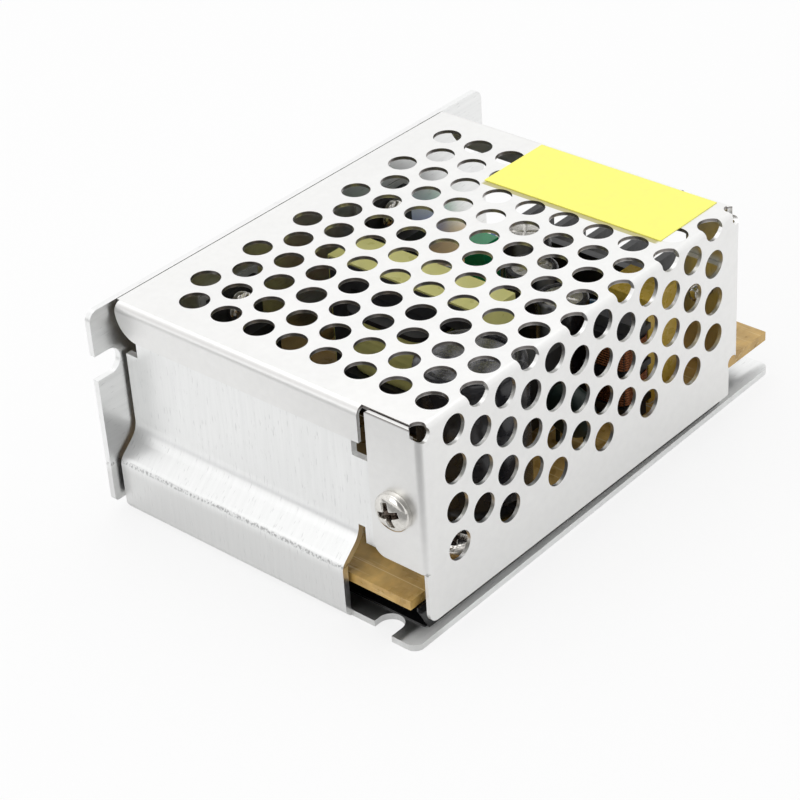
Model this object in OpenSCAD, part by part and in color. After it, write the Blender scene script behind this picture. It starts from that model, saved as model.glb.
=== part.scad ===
// Mesh case switching power supply: a folded sheet chassis and a folded perforated cover
// around a circuit board, with a five way screw terminal block on the open end.
// Everything is placed in case coordinates: u runs along the case from the cover's near
// end, v runs across it from the perforated side, and heights are above the floor.

/* [Case] */
// Length over everything, from the tip of the near ear to the edge of the terminal shelf
overall_len = 87; // [84:0.5:96]
// Width from the perforated side to the outside of the side plate
case_w = 57.2; // [56:0.2:62]
// Height from the floor to the top of the cover
case_h = 33.8; // [33:0.2:40]
// How far the mounting ears stand out past the cover's near end
ear_reach = 4.6; // [4:0.1:6]
// How far the base runs out past the cover at the terminal end
shelf_reach = 10.6; // [10:0.2:14]

/* [Chassis sheet] */
// Thickness of the chassis sheet
chassis_t = 1.0; // [0.8:0.05:1.2]
// Outside radius of the chassis folds
chassis_bend = 1.6; // [1.4:0.1:2.4]
// Width of the open mounting slots
slot_w = 4.0; // [3.2:0.1:4.5]
// Distance across the case from the screw flap to the end wall's foot
wall_setback = 3.2; // [2.4:0.1:8]
// Height at which the end wall starts to step inwards
jog_start = 8.0; // [7:0.1:9.5]
// Angle of the end wall's step, measured from upright
jog_angle = 48; // [35:1:60]
// Height of the end wall's shoulders
shoulder_h = 25; // [22:0.2:27]
// Gap under the mounting ears of the side plate
ear_lift = 2.1; // [1.8:0.1:3]

/* [Cover sheet] */
// Thickness of the cover sheet
cover_t = 0.55; // [0.5:0.05:1.0]
// Outside radius of the cover's long fold
cover_bend = 1.0; // [1.0:0.1:1.8]
// Outside radius of the folds along the cover's end lips
lip_bend = 1.3; // [1.1:0.1:1.6]
// Depth of the end lips, measured from the top of the cover
lip_depth = 5.4; // [4.5:0.1:6.5]
// Width of the screw flaps
flap_w = 9.3; // [8.6:0.1:10]
// Height of the near screw flap's lower edge above the floor
flap_bottom = 10.9; // [9.8:0.1:12]
// Height of the perforated side's lower edge above the floor
skirt_gap = 3.0; // [2.4:0.1:4]

/* [Grille] */
// Diameter of the grille holes
hole_d = 4.4; // [3.6:0.1:4.8]
// Distance between lines of holes along the case
line_pitch = 5.3; // [5.0:0.1:5.6]
// Half the distance between holes within a line
half_pitch = 3.09; // [2.8:0.01:3.2]
// Number of lines of holes
hole_lines = 12; // [10:1:12]
// Number of half pitches from the fold to the farthest hole of the top
top_steps = 16; // [14:1:16]
// Number of half pitches from the fold to the lowest hole of the side
side_steps = 7; // [5:1:7]

/* [Board] */
// Thickness of the circuit board
board_t = 1.5; // [1.0:0.1:2]
// Height of the standoffs between chassis and board
standoff_h = 4.4; // [4:0.1:6]
// Thickness of the insulating sheet under the board
film_t = 0.25; // [0.2:0.05:0.4]

/* [Terminals] */
// Number of terminals in the block
ways = 5; // [5:1:5]
// Distance from one terminal to the next
way_pitch = 6.4; // [6.2:0.05:6.5]
// Height of the terminal block above the board
block_h = 10.6; // [10.2:0.1:12]
// Height of the block's floor, where the contact plates lie
block_floor = 3.5; // [3.2:0.1:4]
// Thickness of the block's partitions
partition_t = 1.2; // [1.0:0.05:1.3]
// Radius of the terminal screws' threaded part
terminal_r = 1.45; // [1.2:0.05:1.5]
// Radius of the terminal screws' heads
terminal_head_r = 2.15; // [2:0.05:2.2]

/* [Screws] */
// Radius of the pan heads of the case and board screws
head_r = 2.9; // [2.6:0.1:3.1]
// Height of the pan heads
head_h = 1.9; // [1.6:0.1:2.2]
// Radius of the case and board screws' threaded part
thread_r = 1.25; // [1.1:0.05:1.4]

/* [Large components] */
// Diameter of the input capacitor
bulk_d = 16; // [14:0.5:16.4]
// Height of the input capacitor
bulk_h = 22.6; // [18:0.2:23]
// Length of the transformer core across the case
core_len = 28.8; // [26:0.2:29]
// Thickness of the transformer core along the case
core_t = 7.7; // [7:0.1:8.2]
// Height of the top of the transformer core above the board
core_top = 20.9; // [19:0.1:22]
// Diameter of the output capacitors
output_d = 8; // [6.3:0.1:8]
// Height of the output capacitors
output_h = 16; // [12:0.5:20]
// Length, width and height of the mains suppression capacitor
x_cap = [7.2, 8.4, 17.4];
// Length, width and height of the line filter
filter_size = [6.4, 7.6, 16.8];

/* [Hidden] */
$fn = 48;

// Clearances
cut = 1;              // how far a cutting tool runs past a face
sheet_gap = 0.1;      // between two sheets screwed together
edge_gap = 0.15;      // between the cover's edges and what they meet
thread_gap = 0.05;    // between a screw's thread and its hole
hole_gap = 0.35;      // between a screw's thread and a plain hole
board_gap = 0.4;      // between the board's edge and the sheet around it
part_gap = 0.05;      // between pieces that lie against each other
slip = 0.02;          // under a piece that rests on another and can be lifted or turned

// Case coordinates
cover_len = overall_len - ear_reach - shelf_reach;
shelf_u = cover_len + shelf_reach;
plate_v = case_w - chassis_t;
base_top = chassis_t;

// Cover
fold_to_top = 0.36;
fold_to_side = 0.03;
fold_seam = 0.03;
flap_inner = cover_t;
flap_top = case_h - 0.25;
slit_w = 0.9;
lip_out = -0.5;
lip_v0 = flap_w + slit_w;
lip_v1 = plate_v - 0.7;
lip_z = case_h - lip_depth;
lip_round = 4;
cover_v1 = plate_v - edge_gap;
relief_r = 1.15;
far_flap_bottom = flap_bottom - 2;
far_step = 2.5;
grille_u0 = (cover_len - (hole_lines - 1) * line_pitch) / 2;

// Screws of the cover
flap_screw = [flap_w * 0.52, 19.8];
cover_screw_len = 5;
recess_r = 1.7;
recess_w = 0.75;
recess_h = 1.1;

// Chassis
wall_out = -3.1;
wall_in = flap_inner + sheet_gap;
wall_v0 = flap_w + wall_setback;
wall_v1 = plate_v - 0.55;
jog_low_r = 1.8;
jog_high_r = 3.5;
jog_turn = 1 - cos(jog_angle);
jog_len = (wall_in - wall_out - (jog_low_r + jog_high_r) * jog_turn) / sin(jog_angle);
jog_c1 = [wall_out + jog_low_r, jog_start];
jog_p1 = jog_c1 + jog_low_r * [-cos(jog_angle), sin(jog_angle)];
jog_p2 = jog_p1 + jog_len * [sin(jog_angle), cos(jog_angle)];
jog_c2 = jog_p2 + jog_high_r * [-cos(jog_angle), sin(jog_angle)];
wall_flat_z = jog_c2[1];
tab_v0 = cover_t + 0.2;
tab_v1 = flap_w + 2;
tab_z = flap_bottom + 0.3;
tongue_v0 = lip_v0 + 2.45;
tongue_v1 = wall_v1 - 2.35;
tongue_z = case_h - cover_t - 0.3;
slot_z = case_h - 9;
slot_v = 6.4;
ear_short = 1.1;
base_slot_end = 1;
plate_slot_end = 0;
far_ear = shelf_u - 1.4;
joint_u0 = 1;
joint_u1 = cover_len - 1;
joint_lap = 0.5;      // how far the ears and the base run into the folded section
far_tab_v0 = 2.6;
far_tab_v1 = flap_w + 0.3;
far_tab_top = flap_screw[1] + 4.2;
far_tab_u1 = cover_len - cover_t - sheet_gap;
far_tab_u0 = far_tab_u1 - chassis_t;
lance_r = 0.5;
lance_gap = 0.4;
corner_r = 1.6;
base_taper = 1.2;     // how far the base's edge runs in under the cover by the far end
base_hole_u = [14, 56];
base_hole_r = 1.35;

// Layout of the board: positions and sizes are drawn for this cover length, width and
// height, and follow the case when it changes
layout_len = 71.8;
layout_w = 57.2;
layout_h = 33.8;
spread_u = cover_len / layout_len;
spread_v = case_w / layout_w;
fit = min(spread_u, spread_v, case_h / layout_h);

// Board and what it stands on
board_z0 = base_top + standoff_h;
board_z = board_z0 + board_t;
board_u0 = wall_out + chassis_t + board_gap + 0.2;
board_u1 = shelf_u - 0.2;
board_v0 = cover_t + 1.5;
board_v1 = plate_v - 0.8;
board_screw_uv = [
    [11.5, 5.0], [11.5, plate_v - 4.7], [cover_len - 5.3, 15.5 * spread_v],
    [cover_len - 5.3, plate_v - 4.6]];
standoff_r = 2.75;
board_screw_len = 4.6;

// Terminal block
block_u0 = cover_len - 1;
block_u1 = shelf_u - 0.4;
block_w = ways * way_pitch + partition_t;
block_v0 = flap_w + 1.4;
block_v1 = block_v0 + block_w;
block_floor_z = board_z + block_floor;
block_top_z = board_z + block_h;
block_back_t = 1.4;
block_plate_t = 0.8;
plate_w = way_pitch - partition_t - 0.5;
clamp_size = way_pitch - partition_t - 0.7;
clamp_t = 0.8;
terminal_u = block_u0 + block_back_t + 0.4 + clamp_size / 2;
terminal_v = [for (i = [0:ways - 1]) block_v0 + partition_t / 2 + (i + 0.5) * way_pitch];
plate_z = block_floor_z + block_plate_t;
clamp_z = plate_z + slip;
terminal_head_z = clamp_z + clamp_t + slip;
terminal_head_h = 1.7;
terminal_len = 4.4;

// Label on the top
label_t = 0.12;
label_size = [13.8, 32.2];
label_at = [cover_len - 14.6, 3.75];

// Where the components stand, as drawn
bulk_at = [23, 2.7 + bulk_d / 2];
core_at = [37.8, 32.5];
x_cap_at = [59.2, 4.8 + x_cap[1] / 2];
filter_at = [51.4, 3.6 + filter_size[1] / 2];
y_cap_at = [60.6, 18.4];
output_at = [[56, 26.4], [63.9, 34], [51.7, 17.4]];
auxiliary_at = [16, 46];
film_at = [66.3, 45];
choke_at = [54, 44.2];
bridge_at = [40, 13.8];
fuse_at = [67, 23.9];
thermistor_at = [40, 7];
opto_at = [44, 50.4];
ic_at = [14, 36];
resistor_at = [25.3, 41.6];
diode_at = [[6, 13.5], [6, 20.5], [6, 27.5]];
switch_u = 22 * spread_u;
rectifier_u = 56 * spread_u;

// Transformer
core_back = 3.8;
core_lift = 2;
tape_t = 0.3;
tape_in = 0.2;
winding_bulge = 5.2;
winding_len = core_len * 0.56;
winding_r = 3;
winding_in = 0.6;
leg_w = core_len * 0.28;
bobbin_t = 0.8;
bobbin_pins = 5;
bobbin_pitch = 4;

// Small components
auxiliary_size = [6.3, 11];
film_size = [3.6, 4.2, 10];
y_cap_size = [4.2, 3];
thermistor_size = [4.2, 3.4];
disc_lift = 2;
disc_leads = 2.5;
bridge_size = [13, 3.4, 11];
bridge_pitch = 3.6;
bridge_notch = 2;
fuse_size = [1.8, 7.4];
resistor_size = [2, 9];
diode_size = [1, 3.2];
axial_lift = 0.4;
axial_span = 1.6;
opto_size = [4.7, 6.4, 3.4];
ic_size = [9.6, 6.4, 3.4];
chip_pitch = 2.3;
lead_r = 0.35;

// Chokes
filter_arm = 1.9;
filter_leg = 2;
flange_t = 1;
former_in = 0.4;
choke_r = 3.9;
choke_tube = 1.35;
choke_turns = 12;
wire_r = 0.45;

// Power packages on the side plate
pad_t = 0.3;
pad_rim = 1;
package_w = 10;
package_t = 4.4;
package_tab_t = 1.3;
package_tab_h = 15.2;
package_body_h = 9;
package_pitch = 2.54;
package_lead = [0.8, 0.5];
package_z = board_z + 3.5;
package_screw_z = package_z + 12.4;
package_head_r = head_r - 0.4;

// Adjuster and indicator, one behind the other beside the terminal block
trimmer_w = 6.2 * fit;
trimmer_h = 4.8;
trimmer_gap = 0.5;
trimmer_foot = 0.4;
trimmer_well = 1.4;
rotor_r = 1.9 * fit;
rotor_h = 1.6;
led_r = 1.5 * fit;
led_flange = 0.4;
led_h = 3;
led_lift = 2;
led_lead_r = 0.25;
trimmer_at = [block_u0 + 0.5 + trimmer_w / 2, block_v1 + trimmer_gap + trimmer_w / 2];
led_at = [trimmer_at[0] + trimmer_w / 2 + 0.3 + led_r + led_flange, trimmer_at[1]];

// ---------------------------------------------------------------- helpers

// Moves case coordinates to the part's own frame
module in_case() {
    translate([ear_reach - overall_len / 2, -case_w / 2, 0]) children();
}

// Extrudes an outline drawn in (v, height) along the case
module along_u(u0, u1) {
    translate([u0, 0, 0]) rotate([90, 0, 90]) linear_extrude(u1 - u0) children();
}

// Extrudes an outline drawn in (u, height) across the case
module along_v(v0, v1) {
    translate([0, v1, 0]) rotate([90, 0, 0]) linear_extrude(v1 - v0) children();
}

// Box from one corner to the opposite one
module block(a, b) {
    translate(a) cube(b - a);
}

// Mirrors a feature of the cover's near end to its far end
module at_end(far) {
    if (far) translate([cover_len, 0, 0]) mirror([1, 0, 0]) children();
    else children();
}

// Section of a fold: the part of a ring between two angles less than 180 apart
module fold_2d(r_in, r_out, a0, a1) {
    reach = 3 * r_out;
    mid = (a0 + a1) / 2;
    intersection() {
        difference() {
            circle(r_out);
            circle(r_in);
        }
        polygon([
            [0, 0], reach * [cos(a0), sin(a0)], reach * [cos(mid), sin(mid)],
            reach * [cos(a1), sin(a1)]]);
    }
}

// What is cut away to round a corner that lies at the origin, with metal on +x +y
module round_2d(r) {
    difference() {
        translate([-cut, -cut]) square(r + cut);
        translate([r, r]) circle(r);
        translate([r, -2 * cut]) square([cut, 4 * cut + r]);
        translate([-2 * cut, r]) square([4 * cut + r, cut]);
    }
}

// Open mounting slot: a round end at the origin and a mouth towards -x
module slot_2d(reach) {
    circle(slot_w / 2);
    translate([-reach, -slot_w / 2]) square([reach, slot_w]);
}

// Pan head screw standing on z = 0 with its head up and its thread down
module pan_screw(radius, height, thread, depth) {
    edge = height * 0.45;
    crown = (radius * radius + (height - edge) * (height - edge)) / (2 * (height - edge));
    difference() {
        union() {
            cylinder(r = radius, h = edge);
            intersection() {
                translate([0, 0, height - crown]) sphere(r = crown);
                translate([0, 0, edge]) cylinder(r = radius, h = height);
            }
            translate([0, 0, -depth]) cylinder(r = thread, h = depth + edge);
        }
        for (turn = [0, 90]) rotate(turn)
            translate([-recess_r, -recess_w / 2, height - recess_h])
                cube([2 * recess_r, recess_w, recess_h + cut]);
    }
}

// Upright electrolytic capacitor: rolled groove near the foot, crossed vent on the top
module can(diameter, height) {
    r = diameter / 2;
    groove = r * 0.09;
    rim = r * 0.12;
    vent_w = 0.3;
    difference() {
        rotate_extrude() difference() {
            union() {
                square([r - rim, height]);
                square([r, height - rim]);
                translate([r - rim, height - rim]) circle(rim);
            }
            translate([r + groove, 2.2]) circle(2 * groove);
            translate([-cut, height - 0.3]) square([cut + r - 1.6 * rim, cut]);
        }
        for (turn = [0, 90]) rotate(turn)
            translate([-r * 0.6, -vent_w / 2, height - 0.55]) cube([r * 1.2, vent_w, cut]);
    }
}

// Sets a component drawn round the origin onto its place on the board
module on_board(at) {
    in_case() translate([at[0] * spread_u, at[1] * spread_v, board_z]) scale(fit) children();
}

// ---------------------------------------------------------------- cover

// Section of the cover's long fold: top, side and the bend between them
module cover_section() {
    translate([cover_bend, case_h - cover_t]) square([cover_v1 - cover_bend, cover_t]);
    translate([0, skirt_gap]) square([cover_t, case_h - cover_bend - skirt_gap]);
    translate([cover_bend, case_h - cover_bend])
        fold_2d(cover_bend - cover_t, cover_bend, 90, 180);
}

// Lip folded down from the top, with its big round corner by the side plate
module cover_lip() {
    difference() {
        along_v(lip_v0, lip_v1) {
            translate([lip_out, lip_z]) square([cover_t, lip_depth - lip_bend]);
            translate([lip_out + lip_bend, case_h - lip_bend])
                fold_2d(lip_bend - cover_t, lip_bend, 90, 180);
            translate([lip_out + lip_bend, case_h - cover_t])
                square([cover_bend - lip_out - lip_bend, cover_t]);
        }
        along_u(lip_out - cut, lip_out + cover_t + cut / 4)
            translate([lip_v1, lip_z]) mirror([1, 0]) round_2d(lip_round);
    }
}

// Flap folded from the side onto the end, with its screw hole
module cover_flap(bottom) {
    along_u(0, cover_t) difference() {
        translate([cover_bend, bottom]) square([flap_w - cover_bend, flap_top - bottom]);
        translate([flap_w, bottom]) mirror([1, 0]) round_2d(2);
        translate([flap_w, flap_top]) mirror([1, 0]) mirror([0, 1]) round_2d(0.5);
        translate(flap_screw) circle(thread_r + hole_gap);
    }
    translate([cover_bend, cover_bend, bottom])
        linear_extrude(flap_top - bottom) fold_2d(cover_bend - cover_t, cover_bend, 180, 270);
}

// Hole that straddles the long fold: a part of a circle in the top and one in the side,
// joined over the fold by straight edges
module fold_hole(u) {
    r = hole_d / 2;
    top_w = sqrt(r * r - pow(cover_bend - fold_to_top, 2)) - fold_seam;
    side_w = sqrt(r * r - pow(cover_bend - fold_to_side, 2)) - fold_seam;
    bend_z = case_h - cover_bend;
    translate([u, fold_to_top, bend_z]) linear_extrude(cover_bend + cut) intersection() {
        circle(r);
        translate([-r, cover_bend - fold_to_top]) square(2 * r);
    }
    along_v(-cut, cover_bend) translate([u, case_h - fold_to_side]) intersection() {
        circle(r);
        translate([-r, fold_to_side - cover_bend - 2 * r]) square(2 * r);
    }
    along_v(-cut, cover_bend + fold_seam) polygon([
        [u - side_w, bend_z - fold_seam], [u + side_w, bend_z - fold_seam],
        [u + top_w, case_h], [u + top_w, case_h + cut], [u - top_w, case_h + cut],
        [u - top_w, case_h]]);
}

// Every hole of the grille, punched in staggered lines that run over the fold
module grille() {
    r = hole_d / 2;
    for (line = [0:hole_lines - 1]) {
        u = grille_u0 + line * line_pitch;
        first = line % 2 == 0 ? 1 : 0;
        side_first = (first + top_steps) % 2;
        for (step = [first:2:top_steps - 1])
            translate([u, fold_to_top + (top_steps - step) * half_pitch,
                       case_h - cover_bend - edge_gap])
                cylinder(r = r, h = cover_bend + edge_gap + cut);
        for (step = [side_first == 0 ? 2 : 1:2:side_steps])
            translate([u, cover_bend + edge_gap, case_h - fold_to_side - step * half_pitch])
                rotate([90, 0, 0]) cylinder(r = r, h = cover_bend + edge_gap + cut);
        if (side_first == 0) fold_hole(u);
    }
}

module cover() {
    color([0.86, 0.87, 0.87]) in_case() difference() {
        union() {
            along_u(cover_bend, cover_len - cover_bend) cover_section();
            for (far = [false, true]) at_end(far) {
                cover_lip();
                cover_flap(far ? far_flap_bottom : flap_bottom);
                block([cover_t + edge_gap, cover_bend, case_h - cover_t],
                      [cover_bend, cover_v1, case_h]);
            }
            block([0, 0, skirt_gap], [cover_bend, cover_t, flap_bottom]);
        }
        grille();
        for (far = [false, true]) at_end(far) {
            translate([cover_bend, cover_bend, case_h - cover_bend - cut / 2])
                cylinder(r = relief_r, h = 2 * cover_bend);
            translate([cover_bend, cover_bend + cut / 2, case_h - cover_bend])
                rotate([90, 0, 0]) cylinder(r = relief_r, h = 2 * cover_bend + cut);
        }
        along_v(-cut, cover_bend) {
            translate([0, skirt_gap]) round_2d(corner_r);
            translate([cover_len - far_step, skirt_gap - cut])
                square([far_step + cut, far_flap_bottom - skirt_gap + cut - relief_r / 2]);
            translate([cover_len - cover_bend - relief_r / 2, far_flap_bottom - relief_r / 2])
                circle(relief_r);
        }
    }
}

module cover_screws() {
    color([0.8, 0.8, 0.8]) in_case()
        for (far = [false, true]) at_end(far)
            translate([0, flap_screw[0], flap_screw[1]]) rotate([0, -90, 0]) rotate(20)
                pan_screw(head_r, head_h, thread_r, cover_screw_len);
}

module label() {
    color([0.97, 0.93, 0.3]) in_case()
        translate([label_at[0], label_at[1], case_h]) cube([label_size[0], label_size[1], label_t]);
}

// ---------------------------------------------------------------- chassis

// Section of the chassis where base and side plate are joined by their fold
module chassis_section() {
    square([case_w - chassis_bend, chassis_t]);
    translate([plate_v, chassis_bend]) square([chassis_t, case_h - chassis_bend]);
    translate([case_w - chassis_bend, chassis_bend])
        fold_2d(chassis_bend - chassis_t, chassis_bend, -90, 0);
}

// Section of the end wall from its foot, over the step, to its flat upper part
module wall_section() {
    across = chassis_t * [cos(jog_angle), -sin(jog_angle)];
    translate([wall_out + chassis_bend, chassis_bend])
        fold_2d(chassis_bend - chassis_t, chassis_bend, 180, 270);
    translate([wall_out, chassis_bend]) square([chassis_t, jog_start - chassis_bend]);
    translate(jog_c1) fold_2d(jog_low_r - chassis_t, jog_low_r, 180 - jog_angle, 180);
    polygon([jog_p1, jog_p2, jog_p2 + across, jog_p1 + across]);
    translate(jog_c2) fold_2d(jog_high_r, jog_high_r + chassis_t, -jog_angle, 0);
}

// Outline of the end wall's flat part: screw tab, shoulders and the tongue behind the lip
module wall_flat_2d() {
    translate([wall_v0, wall_flat_z]) square([wall_v1 - wall_v0, shoulder_h - wall_flat_z]);
    translate([tab_v1, wall_flat_z + 0.1])
        square([wall_v0 - tab_v1, shoulder_h - wall_flat_z - 0.1]);
    translate([tab_v0, tab_z]) square([tab_v1 - tab_v0, shoulder_h - tab_z]);
    translate([tongue_v0, shoulder_h]) square([tongue_v1 - tongue_v0, tongue_z - shoulder_h]);
}

// What lies outside the base's edge along the perforated side
module base_edge_2d() {
    polygon([[wall_out - cut, -cut], [wall_out, 0], [shelf_u, base_taper],
             [shelf_u + cut, base_taper], [shelf_u + cut, -cut]]);
}

// Outline of the base in plan
module base_2d() {
    difference() {
        union() {
            translate([wall_out, 0]) square([joint_u0 + joint_lap - wall_out, wall_v0]);
            translate([wall_out + chassis_bend, wall_v0 - joint_lap])
                square([joint_u0 + joint_lap - wall_out - chassis_bend,
                        wall_v1 - wall_v0 + joint_lap]);
            translate([joint_u1 - joint_lap, 0])
                square([shelf_u - joint_u1 + joint_lap, case_w - chassis_bend - lance_gap]);
        }
        base_edge_2d();
        translate([wall_out, 0]) round_2d(corner_r);
        translate([shelf_u, base_taper]) mirror([1, 0]) round_2d(corner_r);
        translate([shelf_u, case_w - chassis_bend - lance_gap]) mirror([1, 0]) mirror([0, 1])
            round_2d(corner_r);
        translate([base_slot_end - slot_w / 2, slot_v]) slot_2d(ear_reach + cut);
        translate([wall_out - cut, slot_v]) square([ear_short + cut, wall_v0 - slot_v]);
    }
}

// Outline of the side plate's two ears in (u, height)
module ears_2d() {
    difference() {
        union() {
            translate([-ear_reach, ear_lift])
                square([joint_u0 + joint_lap + ear_reach, case_h - ear_lift]);
            translate([joint_u1 - joint_lap, ear_lift])
                square([far_ear - joint_u1 + joint_lap, case_h - ear_lift]);
        }
        translate([-ear_reach, ear_lift]) round_2d(0.6);
        translate([-ear_reach, case_h]) mirror([0, 1]) round_2d(corner_r);
        translate([far_ear, ear_lift]) mirror([1, 0]) round_2d(0.6);
        translate([far_ear, case_h]) mirror([1, 0]) mirror([0, 1]) round_2d(corner_r);
        translate([plate_slot_end - slot_w / 2, slot_z]) slot_2d(ear_reach + cut);
        translate([far_ear - ear_reach + slot_w / 2, slot_z]) mirror([1, 0])
            slot_2d(ear_reach + cut);
    }
}

// Screw tab lanced up from the base at the far end, with its fold
module far_tab() {
    block([far_tab_u0, far_tab_v0, base_top + lance_r],
          [far_tab_u1, far_tab_v1, far_tab_top]);
    along_v(far_tab_v0, far_tab_v1)
        translate([far_tab_u1 + lance_r, base_top + lance_r])
            fold_2d(lance_r, lance_r + chassis_t, 180, 270);
}

// Opening that the far screw tab leaves in the base
module far_window() {
    block([far_tab_u0 - far_tab_top + base_top, far_tab_v0 - lance_gap, -cut],
          [far_tab_u1 + lance_r, far_tab_v1 + lance_gap, base_top + cut]);
}

// Threaded holes: cover screws, case mounting and the bolted power packages
module chassis_holes() {
    r = thread_r + thread_gap;
    for (u = [wall_in - cut, far_tab_u0 - cut])
        translate([u, flap_screw[0], flap_screw[1]]) rotate([0, 90, 0]) cylinder(r = r, h = 3 * cut);
    for (u = base_hole_u)
        translate([u, case_w / 2, -cut]) cylinder(r = base_hole_r, h = 3 * cut);
    for (u = [switch_u, rectifier_u])
        translate([u, case_w + cut, package_screw_z]) rotate([90, 0, 0]) cylinder(r = r, h = 3 * cut);
}

module chassis() {
    color([0.78, 0.79, 0.8]) in_case() difference() {
        union() {
            difference() {
                union() {
                    difference() {
                        along_u(joint_u0, joint_u1) chassis_section();
                        linear_extrude(3 * cut, center = true) base_edge_2d();
                    }
                    linear_extrude(chassis_t) base_2d();
                    along_v(plate_v, case_w) ears_2d();
                }
                far_window();
            }
            difference() {
                along_v(wall_v0, wall_v1) wall_section();
                along_u(wall_out - cut, wall_out + chassis_bend)
                    translate([wall_v1, 0]) mirror([1, 0]) round_2d(corner_r);
            }
            along_u(wall_in, wall_in + chassis_t) wall_flat_2d();
            far_tab();
        }
        chassis_holes();
    }
}

// ---------------------------------------------------------------- board and supports

module circuit_board() {
    color([0.66, 0.47, 0.2]) in_case() difference() {
        block([board_u0, board_v0, board_z0], [board_u1, board_v1, board_z]);
        block([far_tab_u0 - lance_gap, 0, 0],
              [far_tab_u1 + lance_gap, far_tab_v1 + lance_gap, case_h]);
        for (at = board_screw_uv) translate([at[0], at[1], 0])
            cylinder(r = thread_r + hole_gap, h = case_h);
    }
}

// Insulating film folded up along the perforated side
module insulating_sheet() {
    z0 = base_top;
    v0 = board_v0 - film_t - 0.3;
    color([0.06, 0.06, 0.07]) in_case() difference() {
        union() {
            block([joint_u0, v0, z0], [far_tab_u0 - 1, board_v1, z0 + film_t]);
            block([board_u0 + 0.9, v0, z0], [far_tab_u0 - 1, v0 + film_t, board_z0]);
        }
        along_v(0, board_v0) polygon([
            [board_u0, z0 - cut], [board_u0 + 3.4, z0 - cut], [board_u0 + 0.9, board_z0 - 0.6],
            [board_u0, board_z0 - 0.6]]);
        for (at = board_screw_uv) translate([at[0], at[1], 0])
            cylinder(r = standoff_r + 0.4, h = board_z0);
        for (u = base_hole_u) translate([u, case_w / 2, 0])
            cylinder(r = base_hole_r + 0.6, h = board_z0);
    }
}

module board_standoffs() {
    color([0.75, 0.75, 0.72]) in_case()
        for (at = board_screw_uv) translate([at[0], at[1], base_top]) difference() {
            cylinder(r = standoff_r, h = standoff_h);
            translate([0, 0, -cut]) cylinder(r = thread_r + thread_gap, h = standoff_h + 2 * cut);
        }
}

module board_screws() {
    color([0.8, 0.8, 0.8]) in_case()
        for (at = board_screw_uv) translate([at[0], at[1], board_z])
            pan_screw(head_r - 0.1, head_h, thread_r, board_screw_len);
}

// ---------------------------------------------------------------- terminals

module terminal_block() {
    color([0.05, 0.05, 0.055]) in_case() difference() {
        union() {
            block([block_u0, block_v0, board_z], [block_u1, block_v1, block_floor_z]);
            block([block_u0, block_v0, board_z], [block_u0 + block_back_t, block_v1, block_top_z]);
            for (i = [0:ways]) {
                v = block_v0 + i * way_pitch;
                along_v(v, v + partition_t) difference() {
                    translate([block_u0, board_z])
                        square([block_u1 - block_u0, block_top_z - board_z]);
                    translate([block_u1, block_top_z]) mirror([1, 0]) mirror([0, 1])
                        round_2d(3.2);
                }
            }
        }
        for (v = terminal_v) {
            translate([terminal_u, v, board_z + 0.4])
                cylinder(r = terminal_r + hole_gap, h = case_h);
            block([block_u1 - 1.2, v - plate_w / 2, board_z + 1.2],
                  [block_u1 + cut, v + plate_w / 2, block_floor_z + cut]);
        }
    }
}

// Contact plates: each lies on the floor of its way and turns down over the front edge
module terminal_plates() {
    u0 = block_u0 + block_back_t + 0.1;
    u1 = block_u1 - 1.2 + part_gap;
    color([0.82, 0.8, 0.72]) in_case()
        for (v = terminal_v) difference() {
            union() {
                block([u0, v - plate_w / 2, block_floor_z],
                      [u1 + block_plate_t, v + plate_w / 2, plate_z]);
                block([u1, v - plate_w / 2 + 0.4, board_z + 1.6],
                      [u1 + block_plate_t, v + plate_w / 2 - 0.4, plate_z]);
            }
            translate([terminal_u, v, board_z]) cylinder(r = terminal_r + thread_gap, h = case_h);
        }
}

// Square clamp that the screw presses onto the wire
module terminal_clamp(i) {
    color([0.8, 0.8, 0.78]) in_case() translate([terminal_u, terminal_v[i], clamp_z])
        difference() {
            translate([-clamp_size / 2, -clamp_size / 2, 0])
                cube([clamp_size, clamp_size, clamp_t]);
            translate([0, 0, -cut]) cylinder(r = terminal_r + 0.15, h = 3 * cut);
        }
}

module terminal_screw(i) {
    color([0.8, 0.8, 0.78]) in_case()
        translate([terminal_u, terminal_v[i], terminal_head_z]) rotate(15 + 40 * i)
            pan_screw(terminal_head_r, terminal_head_h, terminal_r, terminal_len);
}

// ---------------------------------------------------------------- adjuster and indicator

module trimmer_body() {
    stud = trimmer_w * 0.15;
    color([0.12, 0.3, 0.65]) in_case() translate([trimmer_at[0], trimmer_at[1], board_z])
        difference() {
            union() {
                translate([-trimmer_w / 2, -trimmer_w / 2, trimmer_foot])
                    cube([trimmer_w, trimmer_w, trimmer_h - trimmer_foot]);
                for (x = [-1, 1], y = [-1, 1])
                    translate([x * trimmer_w * 0.35 - stud / 2, y * trimmer_w * 0.35 - stud / 2, 0])
                        cube([stud, stud, 2 * trimmer_foot]);
            }
            translate([0, 0, trimmer_h - trimmer_well])
                cylinder(r = rotor_r + thread_gap, h = trimmer_well + cut);
        }
}

module trimmer_rotor() {
    slot_depth = rotor_h * 0.45;
    color([0.9, 0.9, 0.86]) in_case()
        translate([trimmer_at[0], trimmer_at[1], board_z + trimmer_h - trimmer_well + slip])
            difference() {
                cylinder(r = rotor_r, h = rotor_h);
                for (turn = [0, 90]) rotate(turn)
                    translate([-rotor_r * 0.75, -rotor_r * 0.16, rotor_h - slot_depth])
                        cube([rotor_r * 1.5, rotor_r * 0.32, slot_depth + cut]);
            }
}

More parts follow.
